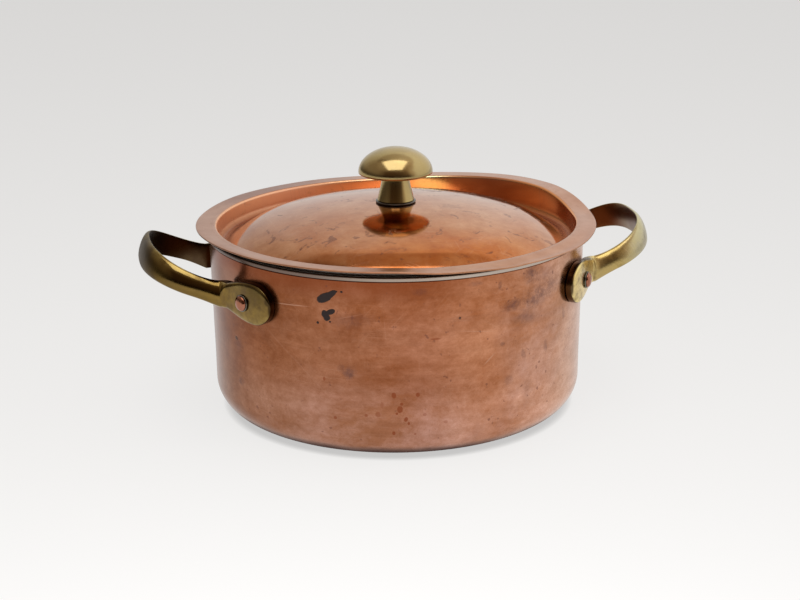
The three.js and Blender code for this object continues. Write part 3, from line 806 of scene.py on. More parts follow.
class Finish:
    """A metal under construction: its tree, its shader and the piece's own coordinates."""

    def __init__(self, name):
        self.material = bpy.data.materials.new(name)
        self.material.use_nodes = True
        self.tree = self.material.node_tree
        self.shader = self.tree.nodes["Principled BSDF"]
        self.shader.inputs["Metallic"].default_value = 1.0
        self.where = lay(self.tree, "ShaderNodeTexCoord").outputs["Object"]

    def group(self, kind, **inputs):
        node = lay(self.tree, "ShaderNodeGroup", node_tree=kind)
        for label, value in {"Vector": self.where, **inputs}.items():
            socket = node.inputs[label]
            if isinstance(value, bpy.types.NodeSocket):
                self.tree.links.new(value, socket)
            else:
                socket.default_value = (*value, 1) if socket.type == "RGBA" else value
        return node.outputs

    def attribute(self, label):
        """A value that the mesh carries at each point."""
        return lay(self.tree, "ShaderNodeAttribute", attribute_name=label).outputs["Fac"]

    def to_the_right(self):
        """How far a point lies to the right of the axis as the pot is usually shown, in metres."""
        a = math.radians(VIEW_AZIMUTH)
        return vector_calc(self.tree, "DOT_PRODUCT", self.where, (math.cos(a), math.sin(a), 0))

    def toned(self, stops):
        """A tint that changes across the pot from left to right, from (place in metres, tint) stops."""
        share = ranged(self.tree, self.to_the_right(), -0.1, 0.1, smoothly=False)
        ramp = lay(self.tree, "ShaderNodeValToRGB", {0: share})
        set_stops(ramp, [((place + 0.1) / 0.2, tint) for place, tint in stops])
        return ramp.outputs[0]

    def stains_and_painted_light(self, marks):
        """The strongest of a list of marks, stains and painted light or shade, at each point."""
        total = None
        for place, turn, size, ragged, softness, strength in marks:
            mask = self.group(STAIN_AND_PAINTED_LIGHT, Place=place, Turn=turn, Size=size, Ragged=ragged, Softness=softness,
                              Strength=strength)[0]
            total = mask if total is None else calc(self.tree, "MAXIMUM", total, mask)
        return total

    def times(self, colour, tint):
        return blended(self.tree, 1.0, colour, tint, "MULTIPLY")

    def tinted(self, colour, share, tint, plain=(1, 1, 1)):
        """The colour times the tint where share is 1, and times plain where share is 0."""
        return self.times(colour, blended(self.tree, share, plain, tint))

    def covered(self, colour, mask, cover, density):
        """The colour under a cover that lets some of it through."""
        return blended(self.tree, calc(self.tree, "MULTIPLY", mask, density), colour, cover)

    def roughened(self, rough, *layers):
        """Roughness with (mask, amount) layers added."""
        for mask, amount in layers:
            rough = calc(self.tree, "MULTIPLY_ADD", mask, amount, rough)
        return rough

    def feed(self, **sockets):
        for label, value in sockets.items():
            self.tree.links.new(value, self.shader.inputs[label.replace("_", " ")])

    def bump(self, *layers):
        """Bump from (height, strength, depth in metres), the first layer lowest."""
        normal = None
        for height, strength, depth in layers:
            inputs = {"Height": height, "Strength": strength, "Distance": depth}
            if normal is not None:
                inputs["Normal"] = normal
            normal = lay(self.tree, "ShaderNodeBump", inputs).outputs[0]
        self.feed(Normal=normal)


def set_stops(ramp, stops):
    """Fills a colour ramp from (share, tint) stops."""
    ramp.color_ramp.interpolation = "EASE"
    first, last = ramp.color_ramp.elements
    for element, (share, tint) in ((first, stops[0]), (last, stops[-1])):
        element.position, element.color = share, (*tint, 1)
    for share, tint in stops[1:-1]:
        ramp.color_ramp.elements.new(share).color = (*tint, 1)


def on_wall(bearing, level, width, height, tilt=0.0, ragged=0.5, softness=0.15, strength=1.0):
    """A mark on the wall, by bearing from the front towards the right and level, in degrees and millimetres. Most
    are stains; a few are painted light or shade, as noted where they are used.
    """
    b = math.radians(bearing)
    r = wall_radius(level) * MM
    return ((r * math.sin(b), -r * math.cos(b), level * MM), (0, math.radians(-tilt), b),
            (width / 2 * MM, 0.01, height / 2 * MM), ragged, softness, strength)


def on_dome(x, y, width, height, tilt=0.0, ragged=0.7, softness=0.3, strength=1.0):
    """A stain on the lid's dome, by its place in plan."""
    z = dome_top - CROWN_RADIUS + math.sqrt(CROWN_RADIUS ** 2 - x * x - y * y)
    return ((x * MM, y * MM, z * MM), (0, 0, math.radians(tilt)),
            (width / 2 * MM, height / 2 * MM, 0.02), ragged, softness, strength)


def each(kind, *rows):
    return [kind(*row) for row in rows]


# Stains, seen in the photo on the front and the sides, made up at the back, and a few marks of painted
# light or shade, noted where they stand. Each row: place, width and height in millimetres, then tilt,
# raggedness, softness and strength.
DARK_MARKS = each(
    on_wall,
    (-31.9, 84.6, 8.6, 4.4, 26, 0.35, 0.08), (-30.0, 86.6, 6.6, 3.0, 34, 0.4, 0.08),
    (-28.9, 87.9, 3.4, 1.2, 20, 0.5, 0.2), (-26.8, 88.3, 1.3, 1.0), (-31.9, 76.2, 3.4, 4.2, 20, 0.4, 0.08),
    (-30.2, 77.6, 5.4, 2.6, 24, 0.4, 0.08), (-31.3, 74.6, 3.6, 3.4, 55, 0.5, 0.1), (-34.1, 71.5, 1.3, 1.3),
    (-30.4, 72.6, 1.1, 1.0), (6.6, 74.0, 1.4, 1.4, 0, 0.5, 0.15, 0.6),
    (-67.4, 51.8, 2.6, 2.0, 0, 1.0, 0.15, 0.5),
)
# Pale scratches; the first row is a painted reflection of the left handle, high on the wall at the left.
PALE_SCRATCHES_AND_PAINTED_REFLECTION = each(
    on_wall,
    (-68, 86, 22, 14, 0, 0.4, 0.6, 0.3), (-43.0, 78.6, 19, 0.5, 3, 0.3, 0.5, 0.5),
    (-24.5, 76.0, 13, 0.5, 14, 0.4, 0.6, 0.15), (-46.5, 56.0, 30, 0.45, -38, 0.3, 0.5, 0.12),
    (-38.0, 44.0, 26, 0.45, -42, 0.3, 0.5, 0.12), (16.0, 50.5, 7, 0.6, 40, 0.6, 0.5, 0.5),
    (12.0, 66.0, 16, 0.5, -8, 0.5, 0.6, 0.3), (30.0, 48.0, 20, 0.6, 70, 0.6, 0.6, 0.35),
    (150, 60, 24, 0.5, 30, 0.4, 0.5, 0.4), (215, 45, 20, 0.5, -25, 0.4, 0.5, 0.4),
    (95, 42, 18, 0.5, 50, 0.4, 0.5, 0.4),
)
RED_MARKS = each(
    on_wall,
    (-12.4, 35.8, 2.3, 3.0, 10), (-5.6, 36.0, 2.0, 2.2), (-10.7, 28.4, 2.8, 3.6), (-9.0, 23.1, 1.8, 2.6, -20),
    (-12.5, 15.8, 1.6, 2.0), (-3.6, 25.3, 2.0, 1.6, 0, 0.5, 0.15, 0.5),
    (-29.6, 22.6, 1.8, 1.8, 0, 0.5, 0.15, 0.8), (-20.4, 25.0, 1.6, 1.5, 0, 0.5, 0.15, 0.7),
    (-17.0, 25.7, 2.6, 3.0, 0, 0.5, 0.15, 0.5), (-32.7, 42.5, 1.4, 2.2, 0, 0.5, 0.15, 0.8),
    (-10.2, 31.2, 1.6, 1.6), (-11.6, 26.2, 1.3, 1.3), (-8.2, 20.9, 1.3, 1.6),
    (-0.4, 64.4, 4.5, 0.9, 0, 1.2, 0.4, 0.8), (2.5, 20.5, 2.2, 1.8, 0, 0.5, 0.15, 0.4),
    (-15.8, 30.6, 1.6, 3.4, 0, 0.5, 0.15, 0.35), (-6.4, 15.2, 1.2, 1.2, 0, 0.5, 0.15, 0.6),
)
PURPLE_MARKS = each(
    on_wall,
    (24.0, 76.2, 10, 5, 8, 1.3, 0.9, 0.9), (33.4, 77.4, 19, 10, 12, 1.3, 0.95, 0.9),
    (39.5, 80.5, 12, 9, 20, 1.3, 0.95, 0.7), (31.0, 89.6, 8, 8, 0, 1.2, 0.9, 1.0),
    (29.5, 68.3, 12, 6, 0, 1.3, 0.95, 0.6), (36.5, 87.5, 16, 8, -10, 1.3, 0.95, 0.5),
    (19.1, 88.0, 2, 4, 0, 1.2, 0.5, 0.7), (10.8, 90.5, 8, 2, 0, 1.4, 0.6, 0.4),
    (-4.8, 88.7, 7, 3, 0, 1.4, 0.6, 0.4), (-25.1, 46.9, 5.5, 5.5, 30, 1.6, 0.6, 0.8),
    (-27.4, 49.0, 4.0, 3.5, 0, 1.6, 0.6, 0.5), (-66.3, 48.5, 7, 7, 0, 1.6, 0.7, 0.5),
    (-66.0, 29.1, 5, 4, 0, 1.6, 0.6, 0.5), (20.4, 57.1, 3, 2, 0, 1.2, 0.5, 0.6),
    (28.3, 49.0, 2.6, 4.5, 20, 1.4, 0.5, 0.6), (38.1, 49.0, 3, 6, 15, 1.6, 0.5, 0.6),
    (22.7, 37.3, 5, 5, 0, 1.6, 0.6, 0.4), (-24.0, 74.0, 16, 6, 8, 1.8, 0.9, 0.35),
    (48.0, 62.0, 3, 6, 10, 1.6, 0.5, 0.5), (30.0, 30.0, 6, 9, 0, 1.8, 0.8, 0.35),
    (110, 60, 14, 10, 0, 1.8, 0.8, 0.5), (150, 40, 12, 12, 0, 1.8, 0.8, 0.5),
    (196, 78, 16, 7, 0, 1.8, 0.8, 0.5), (228, 52, 9, 12, 0, 1.8, 0.8, 0.5), (175, 22, 12, 5, 0, 1.8, 0.8, 0.4),
    (258, 30, 8, 6, 0, 1.8, 0.8, 0.5),
)
LUG_HALOES = [on_wall(bearing, 76, 32, 24, 0, 0.3, 0.35) for bearing in (-56, 60, 120, 236)]
# Stains on the lugs; the first two rows, on the left lug, are painted dark reflections.
LUG_STAINS_AND_PAINTED_REFLECTIONS = each(
    on_wall,
    (-54.5, 81.0, 22, 13, 0, 0.8, 0.6, 0.66), (-49.1, 79.0, 4.6, 4.8, 0, 0.7, 0.35, 0.95),
    (-60.5, 76.0, 7, 14, 0, 0.9, 0.6, 0.5), (62, 79, 8, 12, 0, 0.9, 0.6, 0.35),
    (122, 80, 9, 10, 0, 0.9, 0.6, 0.5), (238, 80, 9, 10, 0, 0.9, 0.6, 0.5),
)
DOME_MARKS = each(
    on_dome,
    (-54.6, -45.3, 12, 4, 25), (-45.0, -46.1, 5, 3, 10), (-30.4, -47.9, 4, 3),
    (-33.3, -28.1, 14, 5, 30, 0.7, 0.3, 0.6), (-14.8, -58.8, 6, 4), (27.3, -11.3, 16, 8, 15, 1.5, 0.7, 0.6),
    (-61.8, -15.5, 9, 3, 40, 0.7, 0.3, 0.7), (-43.5, 11.9, 8, 5, 0, 0.7, 0.3, 0.5), (-76.8, -36.4, 3, 2, 20),
    (44.4, -68.2, 9, 3, -20, 0.7, 0.3, 0.5), (18.3, -73.9, 8, 3, -10, 0.7, 0.3, 0.6),
    (-14.0, -66.5, 14, 5, 0, 0.7, 0.3, 0.5), (26.4, -58.3, 10, 4, 10, 0.7, 0.3, 0.4),
    (48, 34, 14, 6, 30, 1.5, 0.7, 0.4), (-20, 52, 12, 5, 10, 1.5, 0.7, 0.4), (14, 24, 9, 12, 0, 1.5, 0.7, 0.4),
)


def wall_copper():
    """Worn polished copper: browner at the left, pinker at the right, polished round and round."""
    f = Finish("worn_wall_copper")
    tree, laid, right = f.tree, f.group(UNROLLED), f.to_the_right()
    level = laid["Height"]
    squeezed = stretched(tree, f.where, (1, 1, 1.35))
    clouds = f.group(CLOUDS, Vector=squeezed, Scale=19.0, Plain=(0.68, 0.365, 0.235), Warm=(0.46, 0.19, 0.085),
                     Dull=(0.50, 0.27, 0.19), Strength=0.5)
    colour = f.times(clouds["Color"], f.toned((
        (-0.0935, (0.34, 0.21, 0.11)), (-0.070, (0.49, 0.35, 0.25)), (-0.02, (0.60, 0.465, 0.39)),
        (0.01, (0.63, 0.48, 0.41)), (0.045, (0.80, 0.64, 0.53)), (0.07, (1.05, 1.06, 1.16)),
        (0.09, (1.0, 1.06, 1.12)))))
    # Paler and pinker low down, except at the right: a painted reflection of the pale floor
    low = calc(tree, "MULTIPLY", ranged(tree, level, 0.052, 0.016), ranged(tree, right, 0.07, 0.01))
    colour = f.tinted(colour, low, (1.28, 1.65, 2.3))
    # Rubbed bands, grain and polishing lines
    rubbed = noise(tree, stretched(tree, f.where, (26, 26, 150)), 1.0, 5.0, 0.7, 0.3)
    rubbed = ranged(tree, rubbed, 0.36, 0.64, smoothly=False)
    colour = f.tinted(colour, rubbed, (1.05, 1.07, 1.10), (0.94, 0.92, 0.89))
    grain = ranged(tree, noise(tree, squeezed, 130.0, 7.0, 0.80, 0.2), 0.37, 0.63, smoothly=False)
    colour = f.tinted(colour, grain, (1.11, 1.15, 1.2), (0.88, 0.83, 0.77))
    brushing = f.group(BRUSHING, Run=10.0, Pitch=1400.0)
    streak = ranged(tree, brushing["Streak"], 0.35, 0.65, 0.965, 1.035, smoothly=False)
    colour = vector_calc(tree, "SCALE", colour, Scale=streak)
    scratches = f.group(SCRATCHES, Vector=laid["Flat"], Length=0.022, Amount=0.16)["Mask"]
    colour = blended(tree, scratches, colour, (0.66, 0.40, 0.28))
    # Pale scratches, and the painted reflection of the left handle
    colour = blended(tree, f.stains_and_painted_light(PALE_SCRATCHES_AND_PAINTED_REFLECTION), colour, (0.60, 0.34, 0.24))
    # Painted shade under the lip at the left, purple blooms, and painted shade along the base corner
    # Painted shade under the lip, deepest at the left
    painted_shade_under_lip = calc(tree, "MULTIPLY", ranged(tree, level, 0.080, 0.0930), ranged(tree, right, 0.06, -0.02))
    colour = f.covered(colour, painted_shade_under_lip, (0.22, 0.05, 0.015), 0.72)
    purple = f.stains_and_painted_light(PURPLE_MARKS)
    speckle = ranged(tree, noise(tree, f.where, 300.0, 6.0, 0.8), 0.25, 0.62)
    colour = f.covered(colour, calc(tree, "MULTIPLY", purple, speckle), (0.12, 0.058, 0.056), 0.80)
    # Painted shade: a dark line round the foot of the wall, with rougher, less metallic copper there
    uneven_level = calc(tree, "MULTIPLY_ADD", noise(tree, f.where, 30.0, 3.0), 0.006, level)
    painted_shade_at_foot = ranged(tree, uneven_level, 0.0105, 0.0040)
    colour = f.covered(colour, painted_shade_at_foot, (0.085, 0.013, 0.006), 0.92)
    # Dots, red spots and the black marks
    dots = ranged(tree, noise(tree, f.where, 300.0, 3.0, 0.55), 0.665, 0.72)
    colour = f.covered(colour, dots, (0.17, 0.06, 0.04), 0.6)
    colour = f.covered(colour, f.stains_and_painted_light(RED_MARKS), (0.25, 0.06, 0.022), 0.82)
    dark = f.stains_and_painted_light(DARK_MARKS)
    colour = blended(tree, dark, colour, (0.037, 0.018, 0.016))
    rough = f.roughened(0.21, (clouds["Dullness"], 0.10), (purple, 0.12), (dark, 0.25), (painted_shade_at_foot, 0.55),
                        (f.stains_and_painted_light(LUG_HALOES), 0.14))
    metal = calc(tree, "SUBTRACT", 1.0, calc(tree, "MULTIPLY", calc(tree, "MAXIMUM", dark, painted_shade_at_foot), 0.75))
    f.feed(Base_Color=colour, Roughness=rough, Metallic=metal)
    f.bump((noise(tree, f.where, 22.0, 2.0), 0.35, 0.0012), (brushing["Height"], 0.10, 0.0001),
           (scratches, 0.25, -0.00005), (dark, 0.5, 0.00012))
    return f.material


def lid_copper():
    """Brighter copper, mirror-like on the dome, satin in the well and on the flange, with painted black shade
    below it.
    """
    trough_level = min(z for r, z in lid_curve()[0] if r > 80) * MM
    f = Finish("bright_lid_copper")
    tree, laid, right = f.tree, f.group(UNROLLED), f.to_the_right()
    radius, level = laid["Radius"], laid["Height"]
    flange = ranged(tree, radius, 0.0955, 0.0975)
    well = calc(tree, "MULTIPLY", ranged(tree, radius, 0.0925, 0.0945), ranged(tree, radius, 0.0968, 0.0958))
    clouds = f.group(CLOUDS, Scale=22.0, Plain=(0.53, 0.255, 0.13), Warm=(0.43, 0.155, 0.055),
                     Dull=(0.42, 0.185, 0.105), Strength=0.8)
    colour = f.covered(clouds["Color"], flange, (0.46, 0.245, 0.16), 0.7)
    colour = f.times(colour, f.toned((
        (-0.1, (0.88, 0.84, 0.80)), (-0.04, (0.95, 0.90, 0.84)), (0.03, (1.03, 1.03, 0.98)),
        (0.1, (1.0, 1.0, 1.0)))))
    # The warm patch at the dome's front, and the grain
    colour = f.tinted(colour, f.stains_and_painted_light([on_dome(8, -66, 90, 28, 6, 0.25, 0.8)]), (0.93, 0.68, 0.38))
    grain = ranged(tree, noise(tree, f.where, 95.0, 6.0, 0.72, 0.3), 0.36, 0.64, smoothly=False)
    colour = f.tinted(colour, grain, (1.08, 1.12, 1.16), (0.91, 0.86, 0.80))
    # The well wall with a painted gleam high on it at the back right, painted shade on the flange at the back
    # left, and the trough darker
    colour = blended(tree, well, colour, f.toned((
        (-0.1, (0.86, 0.47, 0.26)), (-0.06, (0.90, 0.50, 0.31)), (-0.02, (1.0, 0.58, 0.32)),
        (0.03, (0.96, 0.55, 0.31)), (0.055, (0.68, 0.31, 0.17)), (0.08, (0.95, 0.39, 0.14)),
        (0.1, (1.0, 0.42, 0.15)))))
    # Painted highlight: a bright gleam high on the well wall at the back right
    gleam = calc(tree, "MULTIPLY", well, f.stains_and_painted_light([on_wall(156.6, 97, 24, 16, 0, 0.2, 0.5)]))
    colour = blended(tree, gleam, colour, (1.0, 0.96, 0.52))
    # Painted shade on the flange at the back left
    shaded_flange_back_left = calc(tree, "MULTIPLY", flange, f.stains_and_painted_light([on_wall(214, 97, 90, 40, 0, 0.3, 0.9)]))
    colour = f.tinted(colour, shaded_flange_back_left, (0.62, 0.47, 0.42))
    darker_in_trough = calc(tree, "MULTIPLY", ranged(tree, level, trough_level + 0.0034, trough_level + 0.0008),
                 ranged(tree, radius, 0.084, 0.089))
    colour = f.tinted(colour, darker_in_trough, (0.52, 0.40, 0.34))
    # Scratches, smears and specks
    turning = f.group(TURNING, Pitch=900.0)["Height"]
    plan = vector_calc(tree, "MULTIPLY", f.where, (1, 1, 0))
    scratches = f.group(SCRATCHES, Vector=plan, Length=0.018, Amount=0.35)["Mask"]
    colour = blended(tree, scratches, colour, (0.62, 0.36, 0.25))
    speckle = ranged(tree, noise(tree, f.where, 260.0, 5.0, 0.7, 1.0), 0.45, 0.6)
    smear = calc(tree, "MULTIPLY", f.stains_and_painted_light(DOME_MARKS), speckle)
    specks = ranged(tree, noise(tree, f.where, 120.0, 5.0, 0.62, 0.8), 0.600, 0.665)
    specks = calc(tree, "MULTIPLY", specks, ranged(tree, radius, 0.094, 0.088, 0.15, 0.8))
    smear = calc(tree, "MAXIMUM", smear, specks)
    colour = f.covered(colour, smear, (0.17, 0.055, 0.028), 0.8)
    # Painted shade: black below, up to a ragged line on the flange, for the dark gap over the pot's rim
    ragged_radius = calc(tree, "MULTIPLY_ADD", noise(tree, f.where, 60.0), 0.004, radius)
    black = calc(tree, "MULTIPLY", f.attribute("underside"), ranged(tree, ragged_radius, 0.1075, 0.1045))
    colour = blended(tree, black, colour, (0.018, 0.009, 0.007))
    rough = f.roughened(0.09, (clouds["Dullness"], 0.07), (flange, 0.20), (smear, 0.22), (darker_in_trough, 0.16),
                        (black, 0.3))
    satin = calc(tree, "MULTIPLY", well, ranged(tree, right, 0.03, -0.05, 0.05, 0.30))
    f.feed(Base_Color=colour, Roughness=calc(tree, "ADD", rough, satin))
    f.bump((noise(tree, f.where, 30.0, 2.0), 0.25, 0.0008), (turning, 0.07, 0.00006), (scratches, 0.2, -0.00004))
    return f.material


def brass_ground(f, plain, warm, dull, rough):
    """Cloudy brass with fine scratches: its colour, roughness, scratches and unrolled coordinates."""
    clouds = f.group(CLOUDS, Scale=38.0, Plain=plain, Warm=warm, Dull=dull, Strength=0.9)
    laid = f.group(UNROLLED)
    scratches = f.group(SCRATCHES, Vector=laid["Flat"], Length=0.012, Amount=0.4)["Mask"]
    colour = blended(f.tree, scratches, clouds["Color"], (0.62, 0.50, 0.25))
    return colour, f.roughened(rough, (clouds["Dullness"], 0.12)), scratches, laid


def cast_brass():
    """The handles' brass, cast and filed: olive at the left, paler at the right, brown inside the bow."""
    f = Finish("cast_handle_brass")
    tree, right = f.tree, f.to_the_right()
    colour, rough, scratches, laid = brass_ground(
        f, plain=(0.38, 0.28, 0.11), warm=(0.44, 0.32, 0.10), dull=(0.22, 0.15, 0.06), rough=0.17)
    radius = laid["Radius"]
    colour = f.times(colour, f.toned((
        (-0.1, (0.46, 0.40, 0.32)), (-0.08, (0.61, 0.54, 0.45)), (0.05, (1.08, 1.05, 1.05)),
        (0.1, (1.18, 1.18, 1.30)))))
    # Edges rubbed bright, the bow's inside dark, and painted shade along the lugs' rims and tips
    rubbed = ranged(tree, noise(tree, f.where, 90.0), 0.35, 0.6)
    worn = calc(tree, "MULTIPLY", ranged(tree, f.attribute("edge_nearness"), 0.55, 0.95), rubbed)
    colour = f.covered(colour, worn, (0.52, 0.39, 0.13), 0.5)
    inner = f.attribute("inner_face")
    patchiness = ranged(tree, noise(tree, f.where, 55.0, 4.0), 0.30, 0.60, 0.82, 0.97)
    brown = f.toned(((-0.1, (0.075, 0.045, 0.026)), (0.05, (0.075, 0.034, 0.014)), (0.1, (0.17, 0.065, 0.024))))
    colour = blended(tree, calc(tree, "MULTIPLY", inner, patchiness), colour, brown)
    # Painted shade along the lugs' rims and tips
    colour = f.covered(colour, f.attribute("lug_rim"), (0.03, 0.015, 0.008), 0.93)
    # Stains and painted dark reflections on the lugs, and the right lug paler
    lug = ranged(tree, radius, 0.1085, 0.1065)
    colour = blended(tree, calc(tree, "MULTIPLY", f.stains_and_painted_light(LUG_STAINS_AND_PAINTED_REFLECTIONS), lug), colour, (0.06, 0.038, 0.015))
    paler_right_lug = calc(tree, "MULTIPLY", ranged(tree, radius, 0.1065, 0.1055), ranged(tree, right, 0.07, 0.09))
    colour = f.tinted(colour, paler_right_lug, (1.70, 1.78, 1.90))
    # The bow: pale at its right end, mottled, darker and duller at its left end
    colour = f.tinted(colour, ranged(tree, right, 0.117, 0.131), (1.0, 1.20, 1.90))
    mottled = calc(tree, "MULTIPLY", ranged(tree, radius, 0.1065, 0.1095),
                   ranged(tree, noise(tree, f.where, 85.0, 5.0, 0.65, 0.3), 0.50, 0.68, 0.0, 0.45))
    colour = blended(tree, mottled, colour, (0.12, 0.078, 0.036))
    darker_duller_left_end = ranged(tree, right, -0.112, -0.134)
    colour = f.tinted(colour, darker_duller_left_end, (0.39, 0.36, 0.31))
    patina = calc(tree, "MULTIPLY", lug, ranged(tree, noise(tree, f.where, 130.0, 5.0, 0.65), 0.42, 0.62))
    colour = f.covered(colour, patina, (0.13, 0.08, 0.035), 0.6)
    pits = ranged(tree, noise(tree, f.where, 700.0, 2.0), 0.68, 0.74)
    colour = f.covered(colour, pits, (0.08, 0.055, 0.025), 0.5)
    rough = f.roughened(rough, (inner, 0.08), (darker_duller_left_end, 0.36))
    rough = calc(tree, "ADD", rough, ranged(tree, right, 0.04, 0.1, 0.0, 0.08))
    rough = calc(tree, "SUBTRACT", rough, ranged(tree, right, -0.07, -0.09, 0.0, 0.06))
    f.feed(Base_Color=colour, Roughness=rough)
    f.bump((noise(tree, f.where, 60.0, 2.0), 0.35, 0.0006), (noise(tree, f.where, 260.0, 3.0), 0.12, 0.0002),
           (scratches, 0.25, -0.00004))
    return f.material


def turned_brass():
    """The knob's brass, turned and polished, brighter on the cap's underside."""
    f = Finish("turned_knob_brass")
    tree = f.tree
    colour, rough, scratches, laid = brass_ground(
        f, plain=(0.42, 0.315, 0.14), warm=(0.43, 0.31, 0.12), dull=(0.33, 0.24, 0.105), rough=0.16)
    below = ranged(tree, laid["Height"], (cap_under + 1.4) * MM, (cap_under + 0.6) * MM)
    under = calc(tree, "MULTIPLY", below, ranged(tree, laid["Radius"], 0.0095, 0.0125))
    colour = blended(tree, under, colour, (0.95, 0.70, 0.34))
    f.feed(Base_Color=colour, Roughness=rough)
    f.bump((f.group(TURNING, Pitch=2200.0)["Height"], 0.10, 0.00005), (scratches, 0.2, -0.00004))
    return f.material


def grey_metal(name, plain, dull, rough, pitch, shaded_lip=False):
    """Silver-coloured lining, washers and screw. The lining's lip is darker, with painted shade deepest at the
    left.
    """
    f = Finish(name)
    tree = f.tree
    laid = f.group(UNROLLED)
    warm = tuple(0.5 * (a + b) for a, b in zip(plain, dull))
    clouds = f.group(CLOUDS, Scale=25.0, Plain=plain, Warm=warm, Dull=dull, Strength=0.9)
    turning = f.group(TURNING, Pitch=pitch)["Height"]
    colour = clouds["Color"]
    # Painted shade on the lip, deepest at the left
    if shaded_lip:
        tone = f.toned((
            (-0.1, (0.22, 0.17, 0.16)), (-0.05, (0.36, 0.29, 0.27)), (0.0, (0.68, 0.62, 0.58)),
            (0.04, (0.9, 0.86, 0.84)), (0.1, (1.0, 0.92, 0.88))))
        lip = ranged(tree, laid["Radius"], 0.0976, 0.0984)
        colour = blended(tree, lip, colour, f.times((0.56, 0.50, 0.44), tone))
    scratches = f.group(SCRATCHES, Vector=laid["Flat"], Length=0.02, Amount=0.3)["Mask"]
    f.feed(Base_Color=colour, Roughness=f.roughened(rough, (clouds["Dullness"], 0.12)))
    f.bump((turning, 0.16, 0.00008), (scratches, 0.2, -0.00004))
    return f.material


def rivet_copper():
    """Pinkish copper, dented by the hammer."""
    f = Finish("rivet_copper")
    clouds = f.group(CLOUDS, Scale=160.0, Plain=(0.40, 0.19, 0.135), Warm=(0.36, 0.135, 0.075),
                     Dull=(0.22, 0.10, 0.065), Strength=0.9)
    f.feed(Base_Color=clouds["Color"], Roughness=f.roughened(0.16, (clouds["Dullness"], 0.15)))
    f.bump((noise(f.tree, f.where, 500.0, 2.0), 0.5, 0.0003))
    return f.material


WALL_COPPER = wall_copper()
LID_COPPER = lid_copper()
CAST_BRASS = cast_brass()
TURNED_BRASS = turned_brass()
LINING = grey_metal("silver_lining", (0.60, 0.585, 0.555), (0.42, 0.40, 0.37), 0.26, 700.0, shaded_lip=True)
GREY_RING = grey_metal("rivet_washer_grey", (0.20, 0.19, 0.16), (0.11, 0.10, 0.08), 0.30, 1500.0)
SCREW_GREY = grey_metal("screw_grey", (0.50, 0.49, 0.47), (0.30, 0.29, 0.27), 0.25, 1500.0)
RIVET_PINK = rivet_copper()
DARK_COLLAR = grey_metal("tarnished_collar", (0.17, 0.165, 0.15), (0.09, 0.085, 0.075), 0.35, 1500.0)


def dress(piece, finish, body, slot, *nodes):
    """Gives a made piece its finish and puts it in place of its nodes."""
    piece.data.materials.clear()
    piece.data.materials.append(finish)
    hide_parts(*nodes)
    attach(piece, body)


dress(pot_wall(), WALL_COPPER, "pot", "pot_copper", "pot_body")
dress(pot_skin(), LINING, "pot", "lining", "pot_lining")
dress(lid_sheet(), LID_COPPER, "lid", "lid_copper", "lid_shell")
dress(lid_skin(), LINING, "lid", "lining", "lid_lining")
dress(knob(), TURNED_BRASS, "lid", "knob_brass", "lid_knob")
dress(ring("dark_collar", COLLAR_RADIUS, screw_hole, collar_under - COLLAR_SETTLE,
           COLLAR_THICKNESS + 2 * COLLAR_SETTLE), DARK_COLLAR, "lid", "collar", "knob_collar")
dress(knob_screw(), SCREW_GREY, "lid", "screw_steel", "knob_screw")
dress(ring("screw_washer", SCREW_WASHER_RADIUS, screw_hole, screw_washer_low, SCREW_WASHER_THICKNESS), SCREW_GREY,
      "lid", "screw_steel", "knob_screw_washer")
dress(handle("right_loop_handle", 0), CAST_BRASS, "pot", "brass", "handle_right")
dress(handle("left_loop_handle", math.pi), CAST_BRASS, "pot", "brass", "handle_left")

RIVET_ENDS = ["handle_right_{}_front", "handle_right_{}_back", "handle_left_{}_front", "handle_left_{}_back"]
washer_low = lug_inner - LUG_SETTLE + LUG_THICKNESS + WASHER_GAP
head_low = washer_low + WASHER_THICKNESS + HEAD_GAP
inner_seat = wall_radius(rivet_level) - mouth_inset - FACE_GAP

washers = grown("grey_rivet_washers", riveted("Washers on the lugs", 25, True), Seat=washer_low * MM,
                Radius=WASHER_RADIUS * MM, Height=WASHER_THICKNESS * MM,
                Bore=(RIVET_SHANK_RADIUS + BORE_CLEARANCE) * MM, Finish=GREY_RING)
dress(washers, GREY_RING, "pot", "burr_steel", *[end.format("washer") for end in RIVET_ENDS])
heads = grown("copper_rivets", riveted("Rivets on the lugs", 21, False), Seat=head_low * MM,
              Radius=RIVET_HEAD_RADIUS * MM, Height=RIVET_HEAD_HEIGHT * MM, Inner_Seat=inner_seat * MM,
              Inner_Radius=RIVET_INNER_HEAD_RADIUS * MM, Inner_Height=RIVET_INNER_HEAD_HEIGHT * MM,
              Finish=RIVET_PINK)
dress(heads, RIVET_PINK, "pot", "rivet_copper", *[end.format("rivet") for end in RIVET_ENDS])


# Floor and light

FLOOR_WHITE = 0.12               # diffuse part, which takes the shadows
FLOOR_GLOW = 0.885               # the part that is its own light
FLOOR_GLOW_AT_FOOT = 0.62        # the same where the pot stands close by
FOOT_SHADE = 0.005               # how far from the pot the floor is darker, in metres

